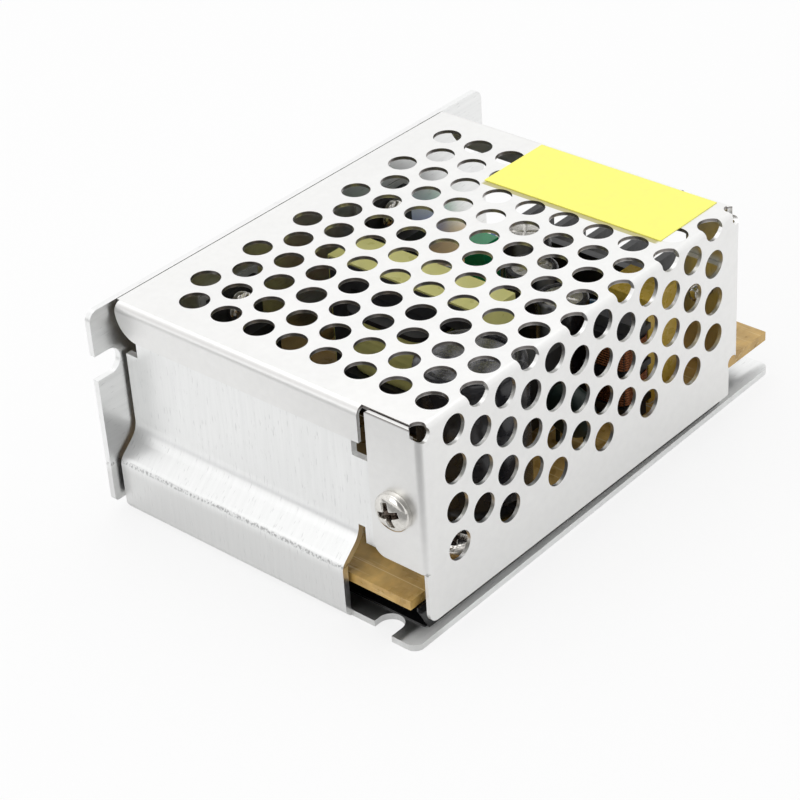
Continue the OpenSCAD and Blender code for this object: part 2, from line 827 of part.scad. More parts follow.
module led() {
    color([0.2, 0.75, 0.3]) in_case() translate([led_at[0], led_at[1], board_z]) {
        for (s = [-1, 1]) translate([0, s * led_r / 2, 0])
            cylinder(r = led_lead_r, h = led_lift + led_lead_r);
        translate([0, 0, led_lift]) cylinder(r = led_r + led_flange, h = 1);
        translate([0, 0, led_lift]) cylinder(r = led_r, h = led_h);
        translate([0, 0, led_lift + led_h]) intersection() {
            sphere(r = led_r);
            cylinder(r = led_r, h = led_r);
        }
    }
}

// ---------------------------------------------------------------- transformer

// Two E cores face to face, seen across the case, with the windows for the winding
module transformer_core() {
    half = core_len / 2;
    window = half - leg_w / 2 - leg_w / 2;
    color([0.16, 0.16, 0.17]) on_board(core_at) translate([-core_t / 2, 0, 0])
        along_u(0, core_t) difference() {
            translate([-half, core_lift]) square([core_len, core_top - core_lift]);
            for (s = [-1, 1])
                translate([s * leg_w / 2 - (s < 0 ? window : 0), core_lift + core_back])
                    square([window, core_top - core_lift - 2 * core_back]);
        }
}

// Yellow tape wound round the outside of the core
module transformer_tape() {
    half = core_len / 2 + part_gap;
    z0 = core_lift - part_gap;
    z1 = core_top + part_gap;
    color([0.9, 0.85, 0.35]) on_board(core_at) translate([-core_t / 2, 0, 0])
        along_u(tape_in, core_t - tape_in) difference() {
            translate([-half - tape_t, z0 - tape_t])
                square([2 * (half + tape_t), z1 - z0 + 2 * tape_t]);
            translate([-half, z0]) square([2 * half, z1 - z0]);
        }
}

// Footprint of the winding round the core's middle leg, grown by a margin
module winding_2d(grow) {
    w = core_t + 2 * winding_bulge + 2 * grow;
    l = winding_len + 2 * grow;
    r = winding_r;
    translate([-w / 2 + r, -l / 2]) square([w - 2 * r, l]);
    translate([-w / 2, -l / 2 + r]) square([w, l - 2 * r]);
    for (x = [-1, 1], y = [-1, 1]) translate([x * (w / 2 - r), y * (l / 2 - r)]) circle(r);
}

module core_leg_2d(grow) {
    w = core_t + 2 * grow;
    l = leg_w + 2 * grow;
    translate([-w / 2, -l / 2]) square([w, l]);
}

module transformer_winding() {
    z0 = core_lift + core_back + 2 * part_gap + bobbin_t + part_gap;
    z1 = core_top - core_back - 2 * part_gap - bobbin_t - part_gap;
    color([0.1, 0.1, 0.11]) on_board(core_at) translate([0, 0, z0])
        linear_extrude(z1 - z0) difference() {
            winding_2d(-winding_in);
            core_leg_2d(bobbin_t);
        }
}

// Bobbin: a sleeve on the middle leg, two flanges and a pin base
module transformer_bobbin() {
    z0 = core_lift + core_back + 2 * part_gap;
    z1 = core_top - core_back - 2 * part_gap;
    sleeve = bobbin_t - part_gap;
    base_out = core_t / 2 + winding_bulge + former_in;
    base_in = core_t / 2 + winding_in;
    base_v = winding_len * 0.62;
    color([0.08, 0.08, 0.08]) on_board(core_at) {
        for (z = [z0, z1 - bobbin_t]) translate([0, 0, z]) linear_extrude(bobbin_t) difference() {
            winding_2d(0);
            core_leg_2d(2 * part_gap);
        }
        translate([0, 0, z0]) linear_extrude(z1 - z0) difference() {
            core_leg_2d(sleeve);
            core_leg_2d(2 * part_gap);
        }
        for (s = [0, 180]) rotate(s) {
            block([base_in, -base_v, winding_in], [base_out, base_v, z0 + bobbin_t]);
            for (k = [0:bobbin_pins - 1])
                translate([base_out - 1.2, (k - (bobbin_pins - 1) / 2) * bobbin_pitch, 0])
                    cylinder(r = lead_r, h = cut);
        }
    }
}

// ---------------------------------------------------------------- capacitors

module bulk_capacitor() {
    color([0.09, 0.09, 0.1]) on_board(bulk_at) can(bulk_d, bulk_h);
}

module output_capacitor(i) {
    color([0.09, 0.09, 0.1]) on_board(output_at[i]) can(output_d, output_h);
}

module auxiliary_capacitor() {
    color([0.09, 0.09, 0.1]) on_board(auxiliary_at) can(auxiliary_size[0], auxiliary_size[1]);
}

// Moulded box capacitor with a stand-off ridge under each end
module box_capacitor(size) {
    foot = 0.5;
    translate([-size[0] / 2, -size[1] / 2, 0]) {
        translate([0, 0, foot]) cube([size[0], size[1], size[2] - foot]);
        for (y = [0, size[1] - 2 * foot]) translate([0, y, 0])
            cube([size[0], 2 * foot, 2 * foot]);
    }
}

module x_capacitor() {
    color([0.86, 0.7, 0.2]) on_board(x_cap_at) box_capacitor(x_cap);
}

module film_capacitor() {
    color([0.05, 0.6, 0.3]) on_board(film_at) box_capacitor(film_size);
}

// Round coated disc standing on two leads, its faces along the case
module disc(size) {
    r = size[0];
    t = size[1];
    translate([-t / 2, 0, r + disc_lift]) rotate([0, 90, 0]) rotate_extrude() {
        square([r - t / 2, t]);
        translate([r - t / 2, t / 2]) circle(t / 2);
    }
    for (y = [-disc_leads, disc_leads]) translate([0, y, 0]) cylinder(r = lead_r, h = r + 1);
}

module y_capacitor() {
    color([0.1, 0.35, 0.6]) on_board(y_cap_at) disc(y_cap_size);
}

module thermistor() {
    color([0.06, 0.16, 0.1]) on_board(thermistor_at) disc(thermistor_size);
}

// ---------------------------------------------------------------- chokes

// Line filter: a closed core standing on its winding's flanged former
module line_filter_core() {
    s = filter_size;
    color([0.14, 0.14, 0.15]) on_board(filter_at) translate([0, -s[1] / 2, 0]) {
        for (z = [0, s[2] - filter_arm]) translate([-filter_arm, 0, z])
            cube([2 * filter_arm, s[1], filter_arm]);
        translate([-filter_arm, s[1] / 2 - filter_leg / 2, 0])
            cube([2 * filter_arm, filter_leg, s[2]]);
    }
}

module line_filter_winding() {
    s = filter_size;
    h = s[2] - 2 * filter_arm - 2 * part_gap;
    well = [2 * (filter_arm + part_gap), filter_leg + 2 * part_gap, h + 2 * cut];
    color([0.09, 0.09, 0.1]) on_board(filter_at) translate([0, 0, filter_arm + part_gap])
        difference() {
            union() {
                for (z = [0, (h - flange_t) / 2, h - flange_t])
                    translate([-s[0] / 2, -s[1] / 2, z]) cube([s[0], s[1], flange_t]);
                translate([-s[0] / 2 + former_in, -s[1] / 2 + former_in, 0])
                    cube([s[0] - 2 * former_in, s[1] - 2 * former_in, h]);
            }
            translate([-well[0] / 2, -well[1] / 2, -cut]) cube(well);
        }
}

// Powder ring core lying on its winding, and the turns round it
module output_choke_core() {
    color([0.2, 0.5, 0.35]) on_board(choke_at)
        translate([0, 0, 2 * wire_r + 2 * part_gap]) difference() {
            cylinder(r = choke_r + choke_tube, h = 2 * choke_tube);
            translate([0, 0, -cut]) cylinder(r = choke_r - choke_tube, h = 2 * (choke_tube + cut));
        }
}

module output_choke_winding() {
    reach = choke_tube + part_gap;
    turn_pitch = 330 / choke_turns;
    color([0.72, 0.4, 0.18]) on_board(choke_at)
        translate([0, 0, 2 * wire_r + 2 * part_gap + choke_tube])
            for (k = [0:choke_turns - 1]) rotate((k + 0.5) * turn_pitch)
                translate([choke_r, 0, 0]) rotate([90, 0, 0])
                    linear_extrude(2 * wire_r, center = true) difference() {
                        square(2 * (reach + 2 * wire_r), center = true);
                        square(2 * reach, center = true);
                    }
}

// ---------------------------------------------------------------- semiconductors

module bridge_rectifier() {
    s = bridge_size;
    color([0.07, 0.07, 0.08]) on_board(bridge_at) {
        translate([-s[0] / 2, -s[1] / 2, disc_lift]) difference() {
            cube(s);
            translate([-cut, -cut, s[2]]) rotate([0, 45, 0])
                cube([bridge_notch, s[1] + 2 * cut, bridge_notch]);
        }
        for (k = [-1.5:1:1.5]) translate([k * bridge_pitch, 0, 0])
            cylinder(r = lead_r, h = disc_lift + lead_r);
    }
}

// Flat power package bolted to the side plate: metal tab, moulded body and three leads
module power_package(u) {
    face = plate_v - pad_t - part_gap;
    lead_v = face - package_t / 2;
    in_case() difference() {
        union() {
            block([u - package_w / 2, face - package_tab_t, package_z],
                  [u + package_w / 2, face, package_z + package_tab_h]);
            block([u - package_w / 2, face - package_t, package_z],
                  [u + package_w / 2, face - package_tab_t / 2, package_z + package_body_h]);
            for (k = [-1:1]) translate([u + package_pitch * k, lead_v, board_z])
                block([-package_lead[0] / 2, -package_lead[1] / 2, 0],
                      [package_lead[0] / 2, package_lead[1] / 2, package_z - board_z + cut]);
        }
        translate([u, face + cut, package_screw_z]) rotate([90, 0, 0])
            cylinder(r = thread_r + hole_gap, h = package_t);
    }
}

module switching_transistor() {
    color([0.1, 0.1, 0.11]) power_package(switch_u);
}

module output_rectifier() {
    color([0.1, 0.1, 0.11]) power_package(rectifier_u);
}

module thermal_pads() {
    color([0.75, 0.76, 0.74]) in_case() for (u = [switch_u, rectifier_u]) difference() {
        block([u - package_w / 2 - pad_rim, plate_v - pad_t, package_z - pad_rim],
              [u + package_w / 2 + pad_rim, plate_v, package_z + package_tab_h + pad_rim]);
        translate([u, case_w, package_screw_z]) rotate([90, 0, 0])
            cylinder(r = thread_r + hole_gap, h = package_t);
    }
}

module transistor_screws() {
    face = plate_v - pad_t - part_gap - package_tab_t;
    color([0.8, 0.8, 0.8]) in_case() for (u = [switch_u, rectifier_u])
        translate([u, face, package_screw_z]) rotate([90, 0, 0])
            pan_screw(package_head_r, head_h, thread_r, case_w - face - 2 * part_gap);
}

// Moulded chip with a row of bent legs along each long side
module chip(size, legs) {
    leg = [0.6, 0.5, 2];
    translate([-size[0] / 2, -size[1] / 2, 0]) {
        translate([0, 0, leg[1]]) cube(size);
        for (k = [0:legs - 1], side = [0, 1])
            translate([size[0] / 2 + (k - (legs - 1) / 2) * chip_pitch - leg[0] / 2,
                       side * (size[1] + 0.1) - 0.3, 0]) cube(leg);
    }
}

module optocoupler() {
    color([0.06, 0.06, 0.065]) on_board(opto_at) chip(opto_size, 2);
}

module controller_ic() {
    color([0.06, 0.06, 0.065]) on_board(ic_at) chip(ic_size, 4);
}

// ---------------------------------------------------------------- small parts

// Body lying flat along v with a lead turned down to the board at each end
module axial(size) {
    r = size[0];
    z = axial_lift + r;
    span = size[1] / 2 + axial_span;
    translate([0, size[1] / 2, z]) rotate([90, 0, 0]) cylinder(r = r, h = size[1]);
    translate([0, span, z]) rotate([90, 0, 0]) cylinder(r = lead_r, h = 2 * span);
    for (s = [-1, 1]) translate([0, s * (span - lead_r), 0]) cylinder(r = lead_r, h = z);
}

module fuse() {
    color([0.75, 0.77, 0.75]) on_board(fuse_at) axial(fuse_size);
}

module snubber_resistor() {
    color([0.45, 0.5, 0.55]) on_board(resistor_at) axial(resistor_size);
}

module diodes() {
    color([0.08, 0.08, 0.09]) for (at = diode_at) on_board(at) axial(diode_size);
}

// ---------------------------------------------------------------- nodes

chassis();
cover();
cover_screws();
label();
circuit_board();
insulating_sheet();
board_standoffs();
board_screws();
terminal_block();
terminal_plates();
for (i = [0:4]) {
    terminal_clamp(i);
    terminal_screw(i);
}
trimmer_body();
trimmer_rotor();
led();
transformer_core();
transformer_tape();
transformer_winding();
transformer_bobbin();
bulk_capacitor();
for (i = [0:2]) output_capacitor(i);
auxiliary_capacitor();
x_capacitor();
y_capacitor();
film_capacitor();
line_filter_core();
line_filter_winding();
output_choke_core();
output_choke_winding();
bridge_rectifier();
switching_transistor();
output_rectifier();
thermal_pads();
transistor_screws();
fuse();
thermistor();
optocoupler();
controller_ic();
snubber_resistor();
diodes();
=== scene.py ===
# %% [markdown]
# # Dressing a mesh case switching power supply
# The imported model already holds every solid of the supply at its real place: the folded
# chassis, the perforated cover, the board and what stands on it. This lesson gives each of
# them its finish, and swaps a few plain solids for finer surfaces that are worked out with
# numpy: screws with their cross recess and thread, capacitors with sleeve and vent, wound
# wire, and the solder and print on the board. All lengths are metres, in the model's frame.

import bmesh
import bpy
import numpy as np
from mathutils import Matrix, Vector


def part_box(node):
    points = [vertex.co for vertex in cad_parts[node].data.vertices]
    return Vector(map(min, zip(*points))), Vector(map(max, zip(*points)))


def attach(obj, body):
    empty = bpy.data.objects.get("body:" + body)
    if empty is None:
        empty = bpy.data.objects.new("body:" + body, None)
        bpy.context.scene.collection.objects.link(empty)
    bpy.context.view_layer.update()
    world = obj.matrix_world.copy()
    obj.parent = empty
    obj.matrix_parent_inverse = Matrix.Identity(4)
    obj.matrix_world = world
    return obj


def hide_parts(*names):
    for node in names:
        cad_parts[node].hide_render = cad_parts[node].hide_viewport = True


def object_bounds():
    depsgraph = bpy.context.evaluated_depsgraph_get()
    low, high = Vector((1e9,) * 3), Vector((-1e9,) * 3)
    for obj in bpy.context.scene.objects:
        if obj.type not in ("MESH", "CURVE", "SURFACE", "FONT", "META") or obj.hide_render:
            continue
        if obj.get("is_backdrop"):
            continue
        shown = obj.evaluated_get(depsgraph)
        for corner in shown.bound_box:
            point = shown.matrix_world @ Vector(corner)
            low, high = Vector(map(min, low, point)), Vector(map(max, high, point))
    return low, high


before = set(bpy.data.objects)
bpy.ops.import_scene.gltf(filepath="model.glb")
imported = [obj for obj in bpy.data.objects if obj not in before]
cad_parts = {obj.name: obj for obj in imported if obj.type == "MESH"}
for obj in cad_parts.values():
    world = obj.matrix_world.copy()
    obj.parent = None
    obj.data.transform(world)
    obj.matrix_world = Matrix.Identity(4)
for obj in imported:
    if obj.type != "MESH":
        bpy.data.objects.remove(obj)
scene = bpy.context.scene
cad_low, cad_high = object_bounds()
MM = 0.001


def new_object(name, data):
    """An object of this mesh, lamp or camera data, in the scene."""
    made = bpy.data.objects.new(name, data)
    scene.collection.objects.link(made)
    return made


def node_frame(name):
    """Centre, size and lowest corner of a CAD node."""
    low, high = (np.array(corner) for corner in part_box(name))
    return (low + high) / 2, high - low, low


print("case, mm:", np.round((np.array(cad_high) - np.array(cad_low)) / MM, 2))

# %% [markdown]
# ## The camera
# A product picture of a small case is taken with a long lens, so that its edges stay almost
# parallel. The camera stands to the left of the perforated side and above the case, and is
# turned a few degrees about its own axis.

# %% Camera
def aim(position, direction, roll_degrees):
    """Matrix of a camera: level axes from direction x up, then turned by the roll."""
    forward = np.array(direction) / np.linalg.norm(direction)
    level_right = np.cross(forward, (0.0, 0.0, 1.0))
    level_right /= np.linalg.norm(level_right)
    level_up = np.cross(level_right, forward)
    roll = np.radians(roll_degrees)
    matrix = np.eye(4)
    matrix[:3, 0] = np.cos(roll) * level_right - np.sin(roll) * level_up
    matrix[:3, 1] = np.sin(roll) * level_right + np.cos(roll) * level_up
    matrix[:3, 2] = -forward
    matrix[:3, 3] = position
    return Matrix(matrix.tolist())


camera = new_object("camera", bpy.data.cameras.new("camera"))
camera.data.lens = 108.9
camera.data.sensor_width = 36.0
camera.data.clip_start = 0.01
camera.matrix_world = aim((-0.22549, -0.20047, 0.20342), (0.6126, 0.5733, -0.5441), 3.97)
scene.camera = camera
print("camera, mm:", [round(c / MM) for c in camera.matrix_world.translation])

# %% [markdown]
# ## Building materials
# A material is a small graph. These helpers keep each graph short: they make and wire nodes,
# write a usual step as one line, such as a sum, a range, a mask or a blend of two colours,
# and open a new material. Numbers that are the same all over a surface go straight onto the
# shader's own sockets.

# %% Helpers for shader graphs
def node(tree, kind, values=None, **settings):
    """A new node of that kind, with its properties set and plain values in its sockets."""
    made = tree.nodes.new(kind)
    for name, value in settings.items():
        setattr(made, name, value)
    for socket, value in (values or {}).items():
        made.inputs[socket].default_value = value
    return made


def link(tree, source, target):
    """One wire between two sockets."""
    tree.links.new(source, target)


def feed(tree, source, target):
    """Fills a socket from another socket, or with a plain number or colour."""
    if isinstance(source, bpy.types.NodeSocket):
        link(tree, source, target)
    elif isinstance(source, tuple):
        target.default_value = (*source, 1.0)
    else:
        target.default_value = source


def calculate(tree, operation, *terms):
    """Result of a Math node whose terms are sockets or numbers."""
    worked = node(tree, "ShaderNodeMath", operation=operation)
    for term, target in zip(terms, worked.inputs):
        feed(tree, term, target)
    return worked.outputs["Value"]


def times(tree, *masks):
    """Product of masks and numbers."""
    product = masks[0]
    for mask in masks[1:]:
        product = calculate(tree, "MULTIPLY", product, mask)
    return product


def remap(tree, value, given=(0.0, 1.0), wanted=(0.0, 1.0), kind="LINEAR"):
    """Carries a value from the given range to the wanted one, and stops at its ends."""
    ranged = node(tree, "ShaderNodeMapRange", interpolation_type=kind)
    link(tree, value, ranged.inputs["Value"])
    for label, end in zip(("From Min", "From Max", "To Min", "To Max"), (*given, *wanted)):
        feed(tree, end, ranged.inputs[label])
    return ranged.outputs["Result"]


def smooth_mask(tree, value, start, stop):
    """0 at start, 1 at stop, with a smooth step between them."""
    return remap(tree, value, (start, stop), kind="SMOOTHSTEP")


def band(tree, value, middle, half_width, flat=0.3):
    """Mask that is 1 at value = middle and falls to 0 at middle +- half_width."""
    away = calculate(tree, "ABSOLUTE", calculate(tree, "SUBTRACT", value, middle))
    return remap(tree, away, (half_width, half_width * flat))


def blend(tree, mask, first, second):
    """Goes from the first to the second with the mask. Colours are tuples, or sockets."""
    colored = isinstance(second, tuple)
    mixed = node(tree, "ShaderNodeMix", data_type="RGBA" if colored else "FLOAT")
    link(tree, mask, mixed.inputs["Factor"])
    feed(tree, first, mixed.inputs["A"])
    feed(tree, second, mixed.inputs["B"])
    return mixed.outputs["Result"]


def coordinate(tree, kind="Object"):
    """A texture coordinate of the surface, as a vector socket."""
    return node(tree, "ShaderNodeTexCoord").outputs[kind]


def axes(tree, kind="Object"):
    """The X, Y and Z sockets of a texture coordinate."""
    split = node(tree, "ShaderNodeSeparateXYZ")
    link(tree, coordinate(tree, kind), split.inputs["Vector"])
    return split.outputs


def new_material(name, color, metallic, roughness, **others):
    """A material whose shader has these constant values. Returns (material, tree, shader)."""
    material = bpy.data.materials.new(name)
    material.use_nodes = True
    tree = material.node_tree
    shader = tree.nodes["Principled BSDF"]
    constants = dict(Base_Color=(*color, 1.0), Metallic=metallic, Roughness=roughness, **others)
    for socket, value in constants.items():
        shader.inputs[socket.replace("_", " ")].default_value = value
    return material, tree, shader


print("graph helpers ready")

# %% [markdown]
# ## Effects that several finishes share
# Sheet metal that came off a roll has faint streaks along the rolling direction. Plating,
# resin and moulded plastic have a grain without direction. Both are one noise texture: the
# streaks stretch its coordinates, the grain does not. Each effect is a node group that puts
# out a mask from 0 to 1 and a bumped normal, so every material can use it at its own scale.

# %% Streaks and grain
FLOAT = "NodeSocketFloat"
VECTOR = "NodeSocketVector"


def new_group(name, **inputs):
    """A group with a Vector, the named inputs, and outputs Mask and Normal, not yet wired."""
    group = bpy.data.node_groups.new(name, "ShaderNodeTree")
    group.interface.new_socket("Vector", in_out="INPUT", socket_type=VECTOR)
    for label, value in inputs.items():
        kind = VECTOR if isinstance(value, tuple) else FLOAT
        group.interface.new_socket(label, in_out="INPUT", socket_type=kind).default_value = value
    for label, kind in (("Mask", FLOAT), ("Normal", VECTOR)):
        group.interface.new_socket(label, in_out="OUTPUT", socket_type=kind)
    return group, node(group, "NodeGroupInput"), node(group, "NodeGroupOutput")


def put_out(group, given, taken, noise, low, high):
    """Mask = the noise's middle, stretched to 0..1. Normal = bent by mask x Depth, in metres."""
    mask = remap(group, noise.outputs["Fac"], (low, high))
    bump = node(group, "ShaderNodeBump", {"Strength": 1.0})
    link(group, given.outputs["Depth"], bump.inputs["Distance"])
    link(group, mask, bump.inputs["Height"])
    link(group, mask, taken.inputs["Mask"])
    link(group, bump.outputs["Normal"], taken.inputs["Normal"])
    return group


def build_streaks():
    """Noise of coordinates scaled by (Scale x Stretch): long along the smallest stretch."""
    group, given, taken = new_group("rolling_streaks", Stretch=(1.0, 1.0, 0.06), Scale=1800.0,
                                    Depth=0.00002, Low=0.3, High=0.7)
    stretched = node(group, "ShaderNodeVectorMath", operation="MULTIPLY")
    noise = node(group, "ShaderNodeTexNoise", {"Detail": 3.0}, noise_dimensions="3D")
    link(group, given.outputs["Vector"], stretched.inputs[0])
    link(group, given.outputs["Stretch"], stretched.inputs[1])
    link(group, stretched.outputs[0], noise.inputs["Vector"])
    link(group, given.outputs["Scale"], noise.inputs["Scale"])
    return put_out(group, given, taken, noise, given.outputs["Low"], given.outputs["High"])


def build_grain():
    """Noise without direction, for plating, resin and moulded plastic."""
    group, given, taken = new_group("fine_grain", Scale=3000.0, Detail=2.0, Depth=0.00001)
    noise = node(group, "ShaderNodeTexNoise", noise_dimensions="3D")
    for label in ("Vector", "Scale", "Detail"):
        link(group, given.outputs[label], noise.inputs[label])
    return put_out(group, given, taken, noise, 0.25, 0.75)


def place_group(tree, group, where=None, **values):
    """Outputs of the group in this material, fed with a vector or object coordinates."""
    placed = node(tree, "ShaderNodeGroup", values, node_tree=group)
    source = coordinate(tree) if where is None else where
    link(tree, source, placed.inputs["Vector"])
    return placed.outputs


def vary_gloss(tree, shader, mask, low, high):
    """Roughness is low where the mask is 0 and high where it is 1."""
    link(tree, remap(tree, mask, wanted=(low, high)), shader.inputs["Roughness"])


def coat(tree, shader, texture, color, low, high):
    """Wires the colour, a roughness from low to high with the texture, and its normal."""
    link(tree, color, shader.inputs["Base Color"])
    vary_gloss(tree, shader, texture["Mask"], low, high)
    link(tree, texture["Normal"], shader.inputs["Normal"])


streaks = build_streaks()
grain = build_grain()
print("shared effects:", [group.name for group in (streaks, grain)])

# %% [markdown]
# ## Sheet metal
# The chassis is bright rolled aluminium. Its grain follows the flat sheet that it was folded
# from, so it runs up the end wall, over the step and along the base. Short dark dashes lie in
# it, and a scuffed line where the press folded the step; below the step the end wall gets a
# painted shade. The cover is plated steel: whiter, more even, faintly smudged, with painted
# shade on the cut walls in its roof, and a painted yellow shade and reflection of the sticker
# in one strip beside it.

# %% Coordinates of the unrolled sheet
def unrolled(tree):
    """(across, along, 0) = (y, x + z), but (z, x) on the side plate."""
    place = axes(tree)
    steep = calculate(tree, "ABSOLUTE", axes(tree, "Normal")["Y"])
    on_plate = calculate(tree, "GREATER_THAN", steep, 0.7)
    length = calculate(tree, "ADD", place["X"], place["Z"])
    joined = node(tree, "ShaderNodeCombineXYZ")
    link(tree, blend(tree, on_plate, place["Y"], place["Z"]), joined.inputs["X"])
    link(tree, blend(tree, on_plate, length, place["X"]), joined.inputs["Y"])
    return joined.outputs["Vector"]


# %% Chassis and cover metal
STEP_HEIGHT = 0.0088
near_end, open_side = cad_low[:2]
label_middle, label_size, label_low = node_frame("label")
roof = label_low[2]


def rolled_aluminium():
    """Fine rolling lines, dark dashes, a scuffed crease at the step, painted shade on the foot.
    """
    material, tree, shader = new_material("rolled_aluminium", (0.9, 0.905, 0.91), 1.0, 0.3)
    sheet = unrolled(tree)
    place = axes(tree)
    lines = place_group(tree, streaks, sheet, Scale=1700.0, Depth=0.000002,
                        Stretch=(1.0, 0.05, 1.0))
    dashes = place_group(tree, streaks, sheet, Scale=3300.0, Depth=0.0, Low=0.62, High=0.7,
                         Stretch=(1.0, 0.13, 1.0))
    scuffs = place_group(tree, grain, Scale=2600.0, Detail=4.0, Depth=0.0)
    wander = place_group(tree, grain, Scale=160.0, Detail=3.0, Depth=0.0)
    bent = calculate(tree, "MULTIPLY_ADD", wander["Mask"], 0.0004, place["Z"])
    crease = times(tree, band(tree, bent, STEP_HEIGHT, 0.0004),
                   smooth_mask(tree, scuffs["Mask"], 0.35, 0.7),
                   band(tree, place["X"], near_end + 0.0015, 0.004))
    lip = smooth_mask(tree, place["X"], near_end + 0.009, near_end + 0.005)
    foot = times(tree, smooth_mask(tree, place["Z"], STEP_HEIGHT, STEP_HEIGHT - 0.002), lip)
    tint = blend(tree, lines["Mask"], (0.885, 0.89, 0.885), (0.93, 0.935, 0.93))
    tint = blend(tree, times(tree, dashes["Mask"], 0.35), tint, (0.5, 0.5, 0.5))
    # Painted shade: the end wall below the step, the foot, is greyed as if in shadow.
    tint = blend(tree, times(tree, foot, 0.45), tint, (0.6, 0.6, 0.59))
    tint = blend(tree, times(tree, crease, 0.7), tint, (0.35, 0.35, 0.35))
    link(tree, tint, shader.inputs["Base Color"])
    gloss = remap(tree, lines["Mask"], wanted=(0.36, 0.28))
    low_down = smooth_mask(tree, place["Z"], 0.0016, 0.0011)
    strip = smooth_mask(tree, place["Y"], open_side + 0.0034, open_side + 0.002)
    worn = times(tree, low_down, calculate(tree, "MAXIMUM", strip, times(tree, lip, 0.2)))
    link(tree, blend(tree, worn, gloss, 0.75), shader.inputs["Roughness"])
    link(tree, lines["Normal"], shader.inputs["Normal"])
    return material


def plated_steel():
    """Faint speckle and smudges, a painted yellow shade and reflection beside the sticker,
    and painted shade on the cut walls in the roof.
    """
    material, tree, shader = new_material("plated_steel", (0.93, 0.93, 0.93), 1.0, 0.36)
    speckle = place_group(tree, grain, Scale=900.0, Detail=6.0, Depth=0.000003)
    smudge = place_group(tree, grain, Scale=90.0, Detail=4.0, Depth=0.0)
    place = axes(tree)
    # Painted shade and reflection: a yellowish strip on the metal along the sticker's long edge.
    sticker_shade = times(tree, band(tree, place["X"], label_low[0] - 0.0002, 0.0009, 0.8),
                  band(tree, place["Y"], label_middle[1], label_size[1] / 2, 0.97),
                  band(tree, place["Z"], roof, 0.0002), 0.85)
    # Painted shade: the upright cut walls in the roof, mostly the holes' walls, go dark brownish
    # grey.
    cut_wall_shade = times(tree, band(tree, axes(tree, "Normal")["Z"], 0.0, 0.9),
                smooth_mask(tree, place["Z"], roof - 0.0007, roof - 0.0003),
                smooth_mask(tree, place["Y"], open_side + 0.0005, open_side + 0.0012), 0.8)
    tint = blend(tree, speckle["Mask"], (0.865, 0.863, 0.852), (0.9, 0.898, 0.887))
    tint = blend(tree, sticker_shade, tint, (0.5, 0.45, 0.15))
    tint = blend(tree, cut_wall_shade, tint, (0.2, 0.17, 0.16))
    link(tree, tint, shader.inputs["Base Color"])
    vary_gloss(tree, shader, smudge["Mask"], 0.42, 0.32)
    link(tree, speckle["Normal"], shader.inputs["Normal"])
    return material


def bright_metal(name, color, roughness):
    """Nickel or tin over a turned or stamped part: nearly a mirror, with a faint grain."""
    material, tree, shader = new_material(name, color, 1.0, roughness)
    dust = place_group(tree, grain, Scale=2500.0, Depth=0.000003)
    vary_gloss(tree, shader, dust["Mask"], roughness * 0.7, roughness * 1.4)
    link(tree, dust["Normal"], shader.inputs["Normal"])
    return material


def screw_nickel():
    """Warm nickel. The piece's UV map holds how deep the recess is, and painted shade follows it.
    """
    material, tree, shader = new_material("nickel_screws", (0.88, 0.86, 0.81), 1.0, 0.12)
    dust = place_group(tree, grain, Scale=2500.0, Depth=0.000002)
    # Painted shade: darker and browner where the cross is deeper.
    recess_shade = smooth_mask(tree, axes(tree, "UV")["Y"], 0.03, 0.75)
    clean = blend(tree, dust["Mask"], (0.7, 0.68, 0.64), (0.84, 0.82, 0.78))
    coat(tree, shader, dust, blend(tree, recess_shade, clean, (0.14, 0.11, 0.09)), 0.08, 0.17)
    return material


sheet_metal = rolled_aluminium()
cover_metal = plated_steel()
nickel = screw_nickel()
tinned = bright_metal("tinned_contacts", (0.82, 0.8, 0.74), 0.22)
aluminium_can = bright_metal("can_aluminium", (0.72, 0.7, 0.66), 0.3)
# Painted shade: a darkened metal for the bulk capacitor's bare can top.
dark_can = bright_metal("can_top_painted_shade", (0.2, 0.2, 0.21), 0.25)
copper = bright_metal("enamelled_copper", (0.22, 0.085, 0.04), 0.25)
print("metals ready, materials:", len(bpy.data.materials))

# %% [markdown]
# ## Plastics, resin and film
# Most of what shows through the grille is moulded or dipped: black sleeves, a yellow tape,
# ochre and blue capacitors. Each gets a colour that drifts a little, and a roughness and a
# faint relief that follow the same grain. The lamp and the fuse let light through.

# %% Moulded and coated finishes
def moulded(name, color, roughness, drift=0.15, scale=900.0, depth=0.000008):
    """A plastic whose colour and gloss follow one grain: color x (1 - drift) to color."""
    material, tree, shader = new_material(name, color, 0.0, roughness)
    texture = place_group(tree, grain, Scale=scale, Detail=4.0, Depth=depth)
    darker = tuple(c * (1.0 - drift) for c in color)
    tint = blend(tree, texture["Mask"], darker, color)
    coat(tree, shader, texture, tint, roughness * 0.8, roughness * 1.2)
    return material


